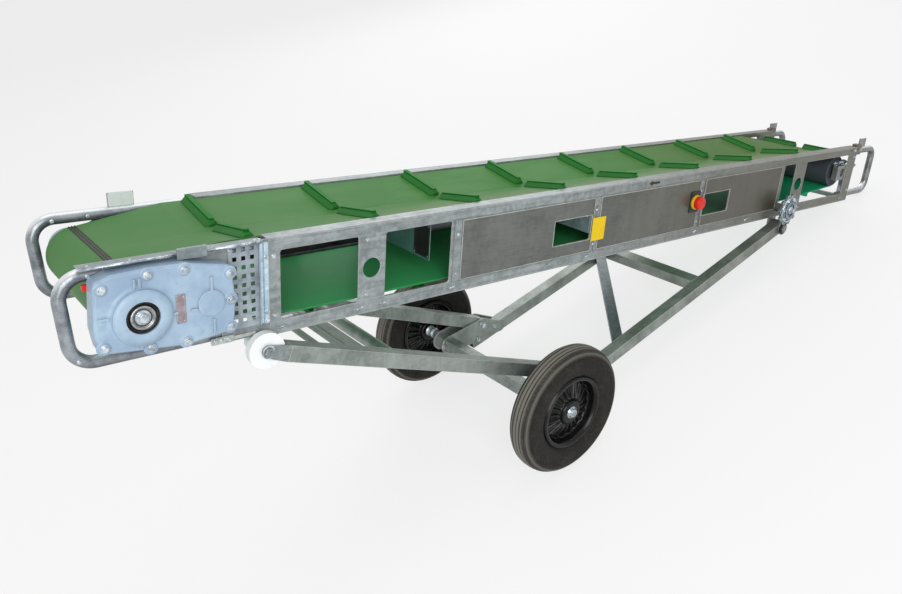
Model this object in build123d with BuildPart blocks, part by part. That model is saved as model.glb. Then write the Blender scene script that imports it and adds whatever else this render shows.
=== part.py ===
from build123d import *
import os
from math import acos, atan2, cos, degrees, hypot, radians, sin

# Portable belt conveyor with two-piece cleats, an adjustable two-wheeled undercarriage and a shaft gearbox.
# Millimetres. The pieces are drawn in the conveyor's own frame: X along the belt from the drive end,
# Y across with the near side negative, Z up from the underside of the side frames.
# At the end they are tipped about Y and moved to the way the machine stands parked.

# Side frames
FRAME_LENGTH = 2670.0
FRAME_HEIGHT = 225.0
FRAME_WIDTH = 422.0
SHEET = 3.0
TOP_FLANGE = 36.0
BOTTOM_FLANGE = 46.0
TOP_LIP = 18.0
BOTTOM_LIP = 14.0
WINDOW_LOW = 33.0
WINDOW_HIGH = 196.0
WINDOW_CORNER = 6.0
STRAP_HOLE_RADIUS = 25.0
STRAP_HOLE_HEIGHT = 114.0
STRAP_HOLE_FIRST_X = 266.0
STRAP_HOLE_LAST_SET_BACK = 441.0

# Cover panels on the side frames
PANEL_SHEET = 1.5
PANEL_LOW = 30.0
PANEL_HIGH = 197.0
PANEL_OPENING_LOW = 70.0
PANEL_OPENING_HIGH = 144.0
LAST_PANEL_SET_BACK = 582.0

# Belt: a shallow trough between the drums, flat where it meets them
BELT_SIDE_GAP = 5.0
BELT_THICKNESS = 4.0
TROUGH_DROP = 33.0
TROUGH_RISE = 29.0
TROUGH_START_X = -90.0
TROUGH_END_SET_BACK = 270.0
CLEAT_HEIGHT = 18.0
CLEAT_THICKNESS = 13.0
CLEAT_ROWS = 9
CLEAT_MIDDLE_GAP = 42.0
CLEAT_EDGE_MARGIN = 8.0
FIRST_CLEAT_X = -33.0
BED_GAP = 0.3
BED_SHEET = 3.0
RETURN_LOW = 26.0
RETURN_LOW_START_X = 100.0
RETURN_LOW_END_SET_BACK = 800.0

# Drums
DRUM_RADIUS = 62.0
DRUM_AXIS_Z = 124.0
DRUM_END_MARGIN = 5.0
DRUM_SHAFT_RADIUS = 17.5
SHAFT_BORE_CLEARANCE = 0.05
HEAD_DRUM_X = -288.0
TAIL_DRUM_SET_BACK = 85.0

# Drive end
HEAD_PLATE_TIP_X = -340.0
HEAD_PLATE_LOW = 8.0
HEAD_PLATE_RAISED_LOW = 42.0
HEAD_PLATE_STEP_X = -112.0
HEAD_PLATE_HIGH = 226.0
FAR_PLATE_HIGH = 208.0
FAR_PLATE_SHOULDER_X = -200.0
FAR_PLATE_NOSE_RADIUS = 36.0
COVER_STRIP_START_X = -386.0
COVER_STRIP_END_X = -22.0
COVER_STRIP_INSIDE = 12.0
COVER_STRIP_OUTSIDE = 15.0
COVER_SHEET = 2.0
LUG_X = -174.0
LUG_LENGTH = 60.0
LUG_LOW = 217.0
LUG_HIGH = 240.0
LUG_SHEET = 5.0
GUARD_START_X = -93.0
GUARD_END_X = -2.0
GUARD_LOW = 34.0
GUARD_HIGH = 222.0
GUARD_SHEET = 2.0
GUARD_HOLE = 9.5
GUARD_HOLE_COLUMNS = 3
GUARD_HOLE_ROWS = 9
GUARD_HOLE_PITCH_X = 20.0
GUARD_HOLE_PITCH_Z = 20.0
GUARD_FIRST_HOLE = (-79.0, 52.0)
GUARD_FOLD_X = -26.0
GUARD_FOLD_DEPTH = 8.0
BEARING_RADIUS = 45.0
BEARING_DEPTH = 26.0

# Handle loops of round tube
TUBE_RADIUS = 13.5
LOOP_HIGH = 206.0
LOOP_LOW = 25.0
LOOP_INSIDE = 60.0
HEAD_LOOP_BEND = 48.0
HEAD_LOOP_SLANT = 14.0
HEAD_LOOP_TIPS_X = {"near": -422.0, "far": -376.0}
TAIL_LOOP_REACHES = {"near": 175.0, "far": 132.0}
TAIL_LOOP_BEND = 42.0
TAIL_LUG_LENGTH = 52.0
TAIL_LUG_HIGH = 254.0
TAIL_LUG_STARTS = {"near": 36.0, "far": 2.0}
HEAD_LUG_HIGH = 252.0

# Gearbox on the drum shaft
GEARBOX_DEPTH = 40.0
GEARBOX_CORNER = 12.0
RING_BOSS_RADIUS = 57.0
RING_BOSS_DEPTH = 12.0
RING_RECESS_RADIUS = 33.0
RING_RECESS_DEPTH = 19.0
SHAFT_SHOW = 6.0
INPUT_BOSS_OFFSET = 139.0
INPUT_BOSS_RADIUS = 28.0
RAISED_DEPTH = 4.0
BOLT_BOSS_RADIUS = 10.0
MOTOR_RADIUS = 55.0
MOTOR_LENGTH = 270.0

# Undercarriage
ARM_SECTION = 40.0
ARM_WALL = 3.0
ARM_INSET = 8.0
LIFT_PIVOT_SET_BACK = 560.0
LIFT_PIVOT_Z = -37.0
ARM_FOOT_X = 985.0
ARM_FOOT_Z = -427.5
KNEE_X = 1018.0
KNEE_Z = -359.0
ROLLER_X = -20.0
ROLLER_RADIUS = 23.0
ROLLER_RAIL_GAP = 0.8
ROLLER_TREAD_INSET = 45.0
GUIDE_DISC_RADIUS = 43.0
GUIDE_DISC_DEPTH = 19.0
GUIDE_DISC_GAP = 5.0
ROLLER_BOLT_RADIUS = 8.0
AXLE_X = 875.0
AXLE_Z = -392.0
AXLE_BEAM = 40.0
AXLE_BEAM_DROP = 10.0
PIVOT_PIN_RADIUS = 10.0
PIN_CLEARANCE = 0.05
KNEE_PLATE = 6.0
KNEE_PLATE_GAP = 1.0
WHEEL_RADIUS = 200.0
TYRE_WIDTH = 82.0
RIM_RADIUS = 112.0
RIM_WIDTH = 72.0
WHEEL_SIDE_GAP = 50.0
STUB_RADIUS = 10.0

SIDES = (("near", -1), ("far", 1))
TROUGH_MIDDLE = FRAME_HEIGHT - TROUGH_DROP
HALF_WIDTH = FRAME_WIDTH / 2
INNER = HALF_WIDTH - SHEET
BELT_WIDTH = FRAME_WIDTH - 2 * TOP_FLANGE - 2 * BELT_SIDE_GAP
HALF_BELT = BELT_WIDTH / 2
BELT_RADIUS = DRUM_RADIUS + BED_GAP + BELT_THICKNESS
FLAT_TOP = DRUM_AXIS_Z + BELT_RADIUS
TAIL_DRUM_X = FRAME_LENGTH - TAIL_DRUM_SET_BACK
TROUGH_END_X = FRAME_LENGTH - TROUGH_END_SET_BACK
TAIL_LOOP_TIPS_X = {side_name: FRAME_LENGTH + reach for side_name, reach in TAIL_LOOP_REACHES.items()}
RETURN_LOW_END_X = FRAME_LENGTH - RETURN_LOW_END_SET_BACK
LIFT_PIVOT_X = FRAME_LENGTH - LIFT_PIVOT_SET_BACK
ARM_INNER = HALF_WIDTH - ARM_INSET
ARM_MIDDLE = ARM_INNER + ARM_SECTION / 2
ARM_OUTER = ARM_INNER + ARM_SECTION
HALF_TRACK = ARM_OUTER + KNEE_PLATE + WHEEL_SIDE_GAP + TYRE_WIDTH / 2
ROLLER_Z = -ROLLER_RADIUS - ROLLER_RAIL_GAP

pieces = []


def keep(builder, label):
    """Give a finished piece its name and put it with the others."""
    builder.part.label = label
    pieces.append(builder.part)


def upright(y):
    """Vertical plane at y whose sketch axes are X and Z."""
    return Plane.XZ.offset(-y)


def low_face(side, inner, outer):
    """Upright plane at the lower Y of a slab that lies between two distances from the middle."""
    return upright(min(side * inner, side * outer))


# Side frames: rails folded from sheet, with a web between them that is cut into windows
TAIL_WINDOWS = (
    # set back of the start, set back of the end
    (561.0, 481.0),
    (401.0, 64.0),
)
WINDOWS = (
    # start x, end x, low z, high z
    (27.0, 228.0, WINDOW_LOW, WINDOW_HIGH),
    (305.0, 506.0, WINDOW_LOW, WINDOW_HIGH),
    (884.0, 1040.0, PANEL_OPENING_LOW, PANEL_OPENING_HIGH),
    (1600.0, 1756.0, PANEL_OPENING_LOW, PANEL_OPENING_HIGH),
    *[(FRAME_LENGTH - start, FRAME_LENGTH - end, WINDOW_LOW, WINDOW_HIGH) for start, end in TAIL_WINDOWS],
)
STRAP_HOLES_X = (STRAP_HOLE_FIRST_X, FRAME_LENGTH - STRAP_HOLE_LAST_SET_BACK)
RAILS = (
    # name, width, height of the lip, level of the flange, direction of the lip
    ("top_rail", TOP_FLANGE, TOP_LIP, FRAME_HEIGHT, -1),
    ("bottom_rail", BOTTOM_FLANGE, BOTTOM_LIP, 0.0, 1),
)
for side_name, side in SIDES:
    with BuildPart() as side_web:
        with BuildSketch(low_face(side, INNER, HALF_WIDTH)):
            with Locations((FRAME_LENGTH / 2, FRAME_HEIGHT / 2)):
                Rectangle(FRAME_LENGTH, FRAME_HEIGHT - 2 * SHEET)
            for start, end, low, high in WINDOWS:
                with Locations(((start + end) / 2, (low + high) / 2)):
                    RectangleRounded(end - start, high - low, WINDOW_CORNER, mode=Mode.SUBTRACT)
            with Locations([(x, STRAP_HOLE_HEIGHT) for x in STRAP_HOLES_X]):
                Circle(STRAP_HOLE_RADIUS, mode=Mode.SUBTRACT)
        extrude(amount=-SHEET)
    keep(side_web, f"side_web_{side_name}")

    for rail_name, width, lip, level, direction in RAILS:
        with BuildPart() as rail:
            with BuildSketch(low_face(side, HALF_WIDTH - width, HALF_WIDTH)):
                with Locations((FRAME_LENGTH / 2, level + direction * SHEET / 2)):
                    Rectangle(FRAME_LENGTH, SHEET)
            extrude(amount=-width)
            with BuildSketch(low_face(side, HALF_WIDTH - width, HALF_WIDTH - width + SHEET)):
                with Locations((FRAME_LENGTH / 2, level + direction * lip / 2)):
                    Rectangle(FRAME_LENGTH, lip)
            extrude(amount=-SHEET)
        keep(rail, f"{rail_name}_{side_name}")

# Cover panels: thin plates on the outer faces
PANELS = (
    # start x, end x
    (516.0, 1052.0),
    (1062.0, 1588.0),
    (1592.0, FRAME_LENGTH - LAST_PANEL_SET_BACK),
)
PANEL_OPENINGS = (
    # start x, end x
    (884.0, 1040.0),
    (1600.0, 1756.0),
)
for side_name, side in SIDES:
    with BuildPart() as cover_panels:
        with BuildSketch(low_face(side, HALF_WIDTH, HALF_WIDTH + PANEL_SHEET)):
            for start, end in PANELS:
                with Locations(((start + end) / 2, (PANEL_LOW + PANEL_HIGH) / 2)):
                    Rectangle(end - start, PANEL_HIGH - PANEL_LOW)
            for start, end in PANEL_OPENINGS:
                with Locations(((start + end) / 2, (PANEL_OPENING_LOW + PANEL_OPENING_HIGH) / 2)):
                    Rectangle(end - start, PANEL_OPENING_HIGH - PANEL_OPENING_LOW, mode=Mode.SUBTRACT)
        extrude(amount=-PANEL_SHEET)
    keep(cover_panels, f"cover_panels_{side_name}")


def trough(top, half, thickness):
    """Corners, across and up, of a shallow V of sheet with its middle and rise at a given top level."""
    middle, rise = top
    return (
        (-half, middle + rise * half / HALF_BELT),
        (0, middle),
        (half, middle + rise * half / HALF_BELT),
        (half, middle + rise * half / HALF_BELT - thickness),
        (0, middle - thickness),
        (-half, middle + rise * half / HALF_BELT - thickness),
    )


# Slider bed: a folded sheet under the carrying run, its edges on the lips of the top rails
BED_START_X = 2.0
BED_TOP = TROUGH_MIDDLE - BELT_THICKNESS - BED_GAP
BED_HALF = HALF_WIDTH - TOP_FLANGE
with BuildPart() as slider_bed:
    with BuildSketch(Plane.YZ.offset(BED_START_X)):
        with BuildLine():
            Polyline(*trough((BED_TOP, TROUGH_RISE), BED_HALF, BED_SHEET), close=True)
        make_face()
    extrude(amount=TROUGH_END_X - BED_START_X)
keep(slider_bed, "slider_bed")

# Cross members between the bottom rails
CROSS_SECTION = 20.0
CROSS_HEIGHT = 16.0
CROSS_END_MARGIN = 4.0
CROSS_SHARES = (0.26, 0.50, 0.69)
CROSS_HALF = HALF_WIDTH - BOTTOM_FLANGE
CROSS_MEMBERS_X = (
    CROSS_END_MARGIN + CROSS_SECTION / 2,
    *[share * FRAME_LENGTH for share in CROSS_SHARES],
    FRAME_LENGTH - CROSS_END_MARGIN - CROSS_SECTION / 2,
)
with BuildPart() as cross_members:
    with BuildSketch(upright(-CROSS_HALF)):
        with Locations([(x, SHEET + CROSS_HEIGHT / 2) for x in CROSS_MEMBERS_X]):
            Rectangle(CROSS_SECTION, CROSS_HEIGHT)
    extrude(amount=-2 * CROSS_HALF)
keep(cross_members, "cross_members")

# Head side plates: the near one has an opening behind its guard, the far one narrows to a nose at the drum
PLATE_OPENING_MARGIN = 6.0
NEAR_PLATE_CORNERS = (
    # x, z
    (0.0, HEAD_PLATE_LOW),
    (HEAD_PLATE_STEP_X, HEAD_PLATE_LOW),
    (HEAD_PLATE_STEP_X, HEAD_PLATE_RAISED_LOW),
    (HEAD_PLATE_TIP_X, HEAD_PLATE_RAISED_LOW),
    (HEAD_PLATE_TIP_X, HEAD_PLATE_HIGH),
    (0.0, HEAD_PLATE_HIGH),
)
FAR_PLATE_CORNERS = (
    # x, z
    (0.0, HEAD_PLATE_LOW),
    (HEAD_PLATE_STEP_X, HEAD_PLATE_LOW),
    (HEAD_DRUM_X, DRUM_AXIS_Z - FAR_PLATE_NOSE_RADIUS),
    (HEAD_DRUM_X, DRUM_AXIS_Z + FAR_PLATE_NOSE_RADIUS),
    (FAR_PLATE_SHOULDER_X, FAR_PLATE_HIGH),
    (0.0, FAR_PLATE_HIGH),
)
HEAD_PLATES = (
    # side of the belt, corners, whether it has the guarded opening
    (-1, NEAR_PLATE_CORNERS, True),
    (1, FAR_PLATE_CORNERS, False),
)
with BuildPart() as head_plates:
    for side, corners, guarded in HEAD_PLATES:
        with BuildSketch(low_face(side, INNER, HALF_WIDTH)):
            with BuildLine():
                Polyline(*corners, close=True)
            make_face()
            with Locations((HEAD_DRUM_X, DRUM_AXIS_Z)):
                Circle(FAR_PLATE_NOSE_RADIUS)
                Circle(DRUM_SHAFT_RADIUS + SHAFT_BORE_CLEARANCE, mode=Mode.SUBTRACT)
            if guarded:
                with Locations(((GUARD_START_X + GUARD_FOLD_X) / 2, (GUARD_LOW + GUARD_HIGH) / 2)):
                    Rectangle(
                        GUARD_FOLD_X - GUARD_START_X - 2 * PLATE_OPENING_MARGIN,
                        GUARD_HIGH - GUARD_LOW - 2 * PLATE_OPENING_MARGIN,
                        mode=Mode.SUBTRACT,
                    )
        extrude(amount=-SHEET)
keep(head_plates, "head_plates")

with BuildPart() as head_bearing:
    with BuildSketch(upright(HALF_WIDTH)):
        with Locations((HEAD_DRUM_X, DRUM_AXIS_Z)):
            Circle(BEARING_RADIUS)
            Circle(DRUM_SHAFT_RADIUS + SHAFT_BORE_CLEARANCE, mode=Mode.SUBTRACT)
    extrude(amount=-BEARING_DEPTH)
keep(head_bearing, "head_bearing")

# Perforated guard between the near head plate's opening and the frame, with a folded strip
GUARD_HOLES = [
    (GUARD_FIRST_HOLE[0] + column * GUARD_HOLE_PITCH_X, GUARD_FIRST_HOLE[1] + row * GUARD_HOLE_PITCH_Z)
    for column in range(GUARD_HOLE_COLUMNS)
    for row in range(GUARD_HOLE_ROWS)
]
GUARD_FOLD_FACE = HALF_WIDTH + GUARD_FOLD_DEPTH
with BuildPart() as drive_guard:
    with BuildSketch(upright(-(HALF_WIDTH + GUARD_SHEET))):
        with Locations(((GUARD_START_X + GUARD_END_X) / 2, (GUARD_LOW + GUARD_HIGH) / 2)):
            Rectangle(GUARD_END_X - GUARD_START_X, GUARD_HIGH - GUARD_LOW)
        with Locations(GUARD_HOLES):
            Rectangle(GUARD_HOLE, GUARD_HOLE, mode=Mode.SUBTRACT)
    extrude(amount=-GUARD_SHEET)
    with BuildSketch(upright(-GUARD_FOLD_FACE)):
        with Locations((GUARD_FOLD_X + GUARD_SHEET / 2, (GUARD_LOW + GUARD_HIGH) / 2)):
            Rectangle(GUARD_SHEET, GUARD_HIGH - GUARD_LOW)
    extrude(amount=-(GUARD_FOLD_DEPTH - GUARD_SHEET))
keep(drive_guard, "drive_guard")

# Cover strip along the top of the near head plate, with a lifting lug
COVER_STRIP_FACE = HALF_WIDTH + COVER_STRIP_OUTSIDE
with BuildPart() as cover_strip:
    with BuildSketch(upright(-COVER_STRIP_FACE)):
        with Locations(((COVER_STRIP_START_X + COVER_STRIP_END_X) / 2, HEAD_PLATE_HIGH + COVER_SHEET / 2)):
            Rectangle(COVER_STRIP_END_X - COVER_STRIP_START_X, COVER_SHEET)
    extrude(amount=-(COVER_STRIP_INSIDE + COVER_STRIP_OUTSIDE))
    with BuildSketch(upright(-(COVER_STRIP_FACE + LUG_SHEET))):
        with Locations((LUG_X, (LUG_LOW + LUG_HIGH) / 2)):
            Rectangle(LUG_LENGTH, LUG_HIGH - LUG_LOW)
    extrude(amount=-LUG_SHEET)
keep(cover_strip, "cover_strip")

# Handle loops of bent tube at both ends, set into the rails and along the head plates
LOOP_PLANE = INNER - TUBE_RADIUS


def head_loop(tip_x):
    """Corners, in X and Z, of a loop at the drive end."""
    heel_x = tip_x + HEAD_LOOP_SLANT
    return (LOOP_INSIDE, LOOP_HIGH), (tip_x, LOOP_HIGH), (heel_x, LOOP_LOW), (LOOP_INSIDE, LOOP_LOW)


def tail_loop(tip_x):
    """Corners, in X and Z, of a loop at the tail end."""
    inside_x = FRAME_LENGTH - LOOP_INSIDE
    return (inside_x, LOOP_HIGH), (tip_x, LOOP_HIGH), (tip_x, LOOP_LOW), (inside_x, LOOP_LOW)


LOOP_LUG_INNER = LOOP_PLANE - LUG_SHEET / 2
LOOP_LUG_OUTER = LOOP_PLANE + LUG_SHEET / 2
with BuildPart() as head_handles:
    for side_name, side in SIDES:
        with BuildLine(upright(side * LOOP_PLANE)) as head_path:
            FilletPolyline(*head_loop(HEAD_LOOP_TIPS_X[side_name]), radius=HEAD_LOOP_BEND)
        with BuildSketch(Plane(head_path.line @ 0, z_dir=head_path.line % 0)):
            Circle(TUBE_RADIUS)
        sweep(path=head_path.line)
    with BuildSketch(low_face(1, LOOP_LUG_INNER, LOOP_LUG_OUTER)):
        with Locations((LUG_X, (LOOP_HIGH + HEAD_LUG_HIGH) / 2)):
            Rectangle(LUG_LENGTH, HEAD_LUG_HIGH - LOOP_HIGH)
    extrude(amount=-LUG_SHEET)
keep(head_handles, "head_handles")

with BuildPart() as tail_handles:
    for side_name, side in SIDES:
        with BuildLine(upright(side * LOOP_PLANE)) as tail_path:
            FilletPolyline(*tail_loop(TAIL_LOOP_TIPS_X[side_name]), radius=TAIL_LOOP_BEND)
        with BuildSketch(Plane(tail_path.line @ 0, z_dir=tail_path.line % 0)):
            Circle(TUBE_RADIUS)
        sweep(path=tail_path.line)
        with BuildSketch(low_face(side, LOOP_LUG_INNER, LOOP_LUG_OUTER)):
            lug_middle = FRAME_LENGTH + TAIL_LUG_STARTS[side_name] + TAIL_LUG_LENGTH / 2
            with Locations((lug_middle, (LOOP_HIGH + TAIL_LUG_HIGH) / 2)):
                Rectangle(TAIL_LUG_LENGTH, TAIL_LUG_HIGH - LOOP_HIGH)
        extrude(amount=-LUG_SHEET)
keep(tail_handles, "tail_handles")

# Drums with their shafts
DRUM_LENGTH = BELT_WIDTH + 2 * DRUM_END_MARGIN
SHAFT_PAST_BEARING = 4.0
TAIL_SHAFT_INSET = 6.0
GEARBOX_FACE = HALF_WIDTH + GEARBOX_DEPTH
HEAD_SHAFT_NEAR = GEARBOX_FACE + RING_BOSS_DEPTH - SHAFT_SHOW
HEAD_SHAFT_FAR = HALF_WIDTH + BEARING_DEPTH + SHAFT_PAST_BEARING
TAIL_SHAFT_HALF = INNER - TAIL_SHAFT_INSET
DRUMS = (
    # name, x, near end of the shaft, far end of the shaft
    ("head_drum", HEAD_DRUM_X, HEAD_SHAFT_NEAR, HEAD_SHAFT_FAR),
    ("tail_drum", TAIL_DRUM_X, TAIL_SHAFT_HALF, TAIL_SHAFT_HALF),
)
for drum_name, drum_x, near_end, far_end in DRUMS:
    with BuildPart() as drum:
        with BuildSketch(upright(-DRUM_LENGTH / 2)):
            with Locations((drum_x, DRUM_AXIS_Z)):
                Circle(DRUM_RADIUS)
        extrude(amount=-DRUM_LENGTH)
        with BuildSketch(upright(-near_end)):
            with Locations((drum_x, DRUM_AXIS_Z)):
                Circle(DRUM_SHAFT_RADIUS)
        extrude(amount=-(near_end + far_end))
    keep(drum, drum_name)

# Belt: troughed carrying run, flat wraps and return run, and rows of two-piece cleats
CARRYING = (TROUGH_MIDDLE, TROUGH_RISE)
FLAT = (FLAT_TOP, 0.0)
CLEAT_PITCH = (TAIL_DRUM_X - FIRST_CLEAT_X) / (CLEAT_ROWS - 1)
RUN_ENDS = (
    # x at the drum, x where the trough begins, side that the wrap lies on
    (HEAD_DRUM_X, TROUGH_START_X, -1),
    (TAIL_DRUM_X, TROUGH_END_X, 1),
)


RETURN_HIGH = DRUM_AXIS_Z - BELT_RADIUS + BELT_THICKNESS / 2
RETURN_LINE = (
    # x, level of the middle of the belt
    (HEAD_DRUM_X, RETURN_HIGH),
    (RETURN_LOW_START_X, RETURN_LOW),
    (RETURN_LOW_END_X, RETURN_LOW),
    (TAIL_DRUM_X, RETURN_HIGH),
)


def return_level(x):
    """Level of the middle of the returning belt at x."""
    for (start, high), (end, low) in zip(RETURN_LINE, RETURN_LINE[1:]):
        if start <= x <= end:
            return high + (low - high) * (x - start) / (end - start)
    return RETURN_HIGH


def half_trough(top, side):
    """Corners, across and up, of one side of the belt with its middle and rise at a given top level."""
    middle, rise = top
    return (
        (0, middle),
        (side * HALF_BELT, middle + rise),
        (side * HALF_BELT, middle + rise - BELT_THICKNESS),
        (0, middle - BELT_THICKNESS),
    )


def cleat_shape(side, x):
    """Corners, across and up, of one cleat piece on the carrying run at x."""
    inner = CLEAT_MIDDLE_GAP / 2
    outer = HALF_BELT - CLEAT_EDGE_MARGIN
    past_trough = max(0.0, x - TROUGH_END_X) / (TAIL_DRUM_X - TROUGH_END_X)
    rise = TROUGH_RISE * (1 - past_trough)
    middle = TROUGH_MIDDLE + (FLAT_TOP - TROUGH_MIDDLE) * past_trough - BELT_THICKNESS / 2
    low_inner = middle + rise * inner / HALF_BELT
    low_outer = middle + rise * outer / HALF_BELT
    tall = CLEAT_HEIGHT + BELT_THICKNESS / 2
    return (
        (side * inner, low_inner),
        (side * outer, low_outer),
        (side * outer, low_outer + tall),
        (side * inner, low_inner + tall),
    )


with BuildPart() as belt:
    with BuildSketch(Plane.YZ.offset(TROUGH_START_X)):
        with BuildLine():
            Polyline(*trough(CARRYING, HALF_BELT, BELT_THICKNESS), close=True)
        make_face()
    extrude(amount=TROUGH_END_X - TROUGH_START_X)
    for drum_x, trough_x, direction in RUN_ENDS:
        for side_name, side in SIDES:
            for x, section in ((drum_x, FLAT), (trough_x, CARRYING)):
                with BuildSketch(Plane.YZ.offset(x)):
                    with BuildLine():
                        Polyline(*half_trough(section, side), close=True)
                    make_face()
            loft(ruled=True)
        with BuildSketch(upright(-HALF_BELT)):
            with Locations((drum_x, DRUM_AXIS_Z)):
                Circle(BELT_RADIUS)
                Circle(BELT_RADIUS - BELT_THICKNESS, mode=Mode.SUBTRACT)
            with Locations((drum_x - direction * BELT_RADIUS, DRUM_AXIS_Z)):
                Rectangle(2 * BELT_RADIUS, 2 * BELT_RADIUS, mode=Mode.SUBTRACT)
        extrude(amount=-BELT_WIDTH)
    with BuildSketch(upright(-HALF_BELT)):
        with BuildLine():
            upper_line = [(x, z + BELT_THICKNESS / 2) for x, z in RETURN_LINE]
            lower_line = [(x, z - BELT_THICKNESS / 2) for x, z in reversed(RETURN_LINE)]
            Polyline(*upper_line, *lower_line, close=True)
        make_face()
    extrude(amount=-BELT_WIDTH)
    for row in range(CLEAT_ROWS):
        row_x = FIRST_CLEAT_X + row * CLEAT_PITCH
        for side_name, side in SIDES:
            with BuildSketch(Plane.YZ.offset(row_x)):
                with BuildLine():
                    Polyline(*cleat_shape(side, row_x), close=True)
                make_face()
            extrude(amount=CLEAT_THICKNESS)
            cleat_middle = side * (CLEAT_MIDDLE_GAP / 2 + HALF_BELT - CLEAT_EDGE_MARGIN) / 2
            cleat_length = HALF_BELT - CLEAT_EDGE_MARGIN - CLEAT_MIDDLE_GAP / 2
            if row < CLEAT_ROWS - 1:
                back_x = row_x + CLEAT_PITCH / 2
                with BuildSketch(Plane.XY.offset(return_level(back_x) - CLEAT_HEIGHT - BELT_THICKNESS / 2)):
                    with Locations((back_x, cleat_middle)):
                        Rectangle(CLEAT_THICKNESS, cleat_length)
                extrude(amount=CLEAT_HEIGHT + BELT_THICKNESS / 2)
keep(belt, "belt")

# Shaft gearbox: cast housing on the near head plate, with bosses and ribs on its face
GEARBOX_OUTLINE = (
    # x from the drum shaft, z from the drum shaft
    (-82.0, 80.0),
    (-89.0, -16.0),
    (-82.0, -64.0),
    (84.0, -82.0),
    (186.0, -72.0),
    (194.0, -4.0),
    (186.0, 72.0),
    (90.0, 92.0),
    (16.0, 94.0),
    (-50.0, 91.0),
)
GEARBOX_BOLTS = (
    # x from the drum shaft, z from the drum shaft
    (-70.0, 67.0),
    (16.0, 82.0),
    (88.0, 80.0),
    (180.0, 57.0),
    (181.0, 0.0),
    (178.0, -61.0),
    (85.0, -72.0),
    (13.0, -69.0),
    (-74.0, -50.0),
)
GEARBOX_RIBS = (
    # x from the drum shaft, z from the drum shaft, length in x, length in z
    (-10.0, 68.0, 5.0, 20.0),
    (0.0, 68.0, 5.0, 20.0),
    (-70.0, 8.0, 22.0, 5.0),
    (-5.0, -62.0, 5.0, 10.0),
    (64.0, -7.0, 12.0, 5.0),
    (103.0, -8.0, 14.0, 5.0),
    (141.0, 42.0, 5.0, 30.0),
    (143.0, -50.0, 5.0, 30.0),
)
RING_FACE = GEARBOX_FACE + RING_BOSS_DEPTH
with BuildPart() as gearbox:
    with BuildSketch(upright(-GEARBOX_FACE)) as gearbox_outline:
        with BuildLine():
            Polyline(*[(HEAD_DRUM_X + x, DRUM_AXIS_Z + z) for x, z in GEARBOX_OUTLINE], close=True)
        make_face()
        fillet(gearbox_outline.vertices(), GEARBOX_CORNER)
    extrude(amount=-GEARBOX_DEPTH)
    front = gearbox.faces().sort_by(Axis.Y)[0]
    chamfer(front.edges(), RAISED_DEPTH)
    with BuildSketch(upright(-RING_FACE)):
        with Locations((HEAD_DRUM_X, DRUM_AXIS_Z)):
            Circle(RING_BOSS_RADIUS)
    extrude(amount=-RING_BOSS_DEPTH)
    with BuildSketch(upright(-(GEARBOX_FACE + RAISED_DEPTH))):
        with Locations((HEAD_DRUM_X + INPUT_BOSS_OFFSET, DRUM_AXIS_Z)):
            Circle(INPUT_BOSS_RADIUS)
        for x, z, long_x, long_z in GEARBOX_RIBS:
            with Locations((HEAD_DRUM_X + x, DRUM_AXIS_Z + z)):
                Rectangle(long_x, long_z)
    extrude(amount=-RAISED_DEPTH)
    with BuildSketch(upright(-(GEARBOX_FACE + RAISED_DEPTH))):
        with Locations([(HEAD_DRUM_X + x, DRUM_AXIS_Z + z) for x, z in GEARBOX_BOLTS]):
            Circle(BOLT_BOSS_RADIUS)
    extrude(amount=-(RAISED_DEPTH + GEARBOX_DEPTH))
    with BuildSketch(upright(-RING_FACE)):
        with Locations((HEAD_DRUM_X, DRUM_AXIS_Z)):
            Circle(RING_RECESS_RADIUS)
    extrude(amount=-RING_RECESS_DEPTH, mode=Mode.SUBTRACT)
    with BuildSketch(upright(-RING_FACE)):
        with Locations((HEAD_DRUM_X, DRUM_AXIS_Z)):
            Circle(DRUM_SHAFT_RADIUS + SHAFT_BORE_CLEARANCE)
    extrude(amount=-(RING_BOSS_DEPTH + GEARBOX_DEPTH), mode=Mode.SUBTRACT)
keep(gearbox, "gearbox")

# Motor between the belt runs, on the inner face of the near head plate
MOTOR_X = HEAD_DRUM_X + INPUT_BOSS_OFFSET
with BuildPart() as drive_motor:
    with BuildSketch(upright(-INNER)):
        with Locations((MOTOR_X, DRUM_AXIS_Z)):
            Circle(MOTOR_RADIUS)
    extrude(amount=-MOTOR_LENGTH)
keep(drive_motor, "drive_motor")

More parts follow.
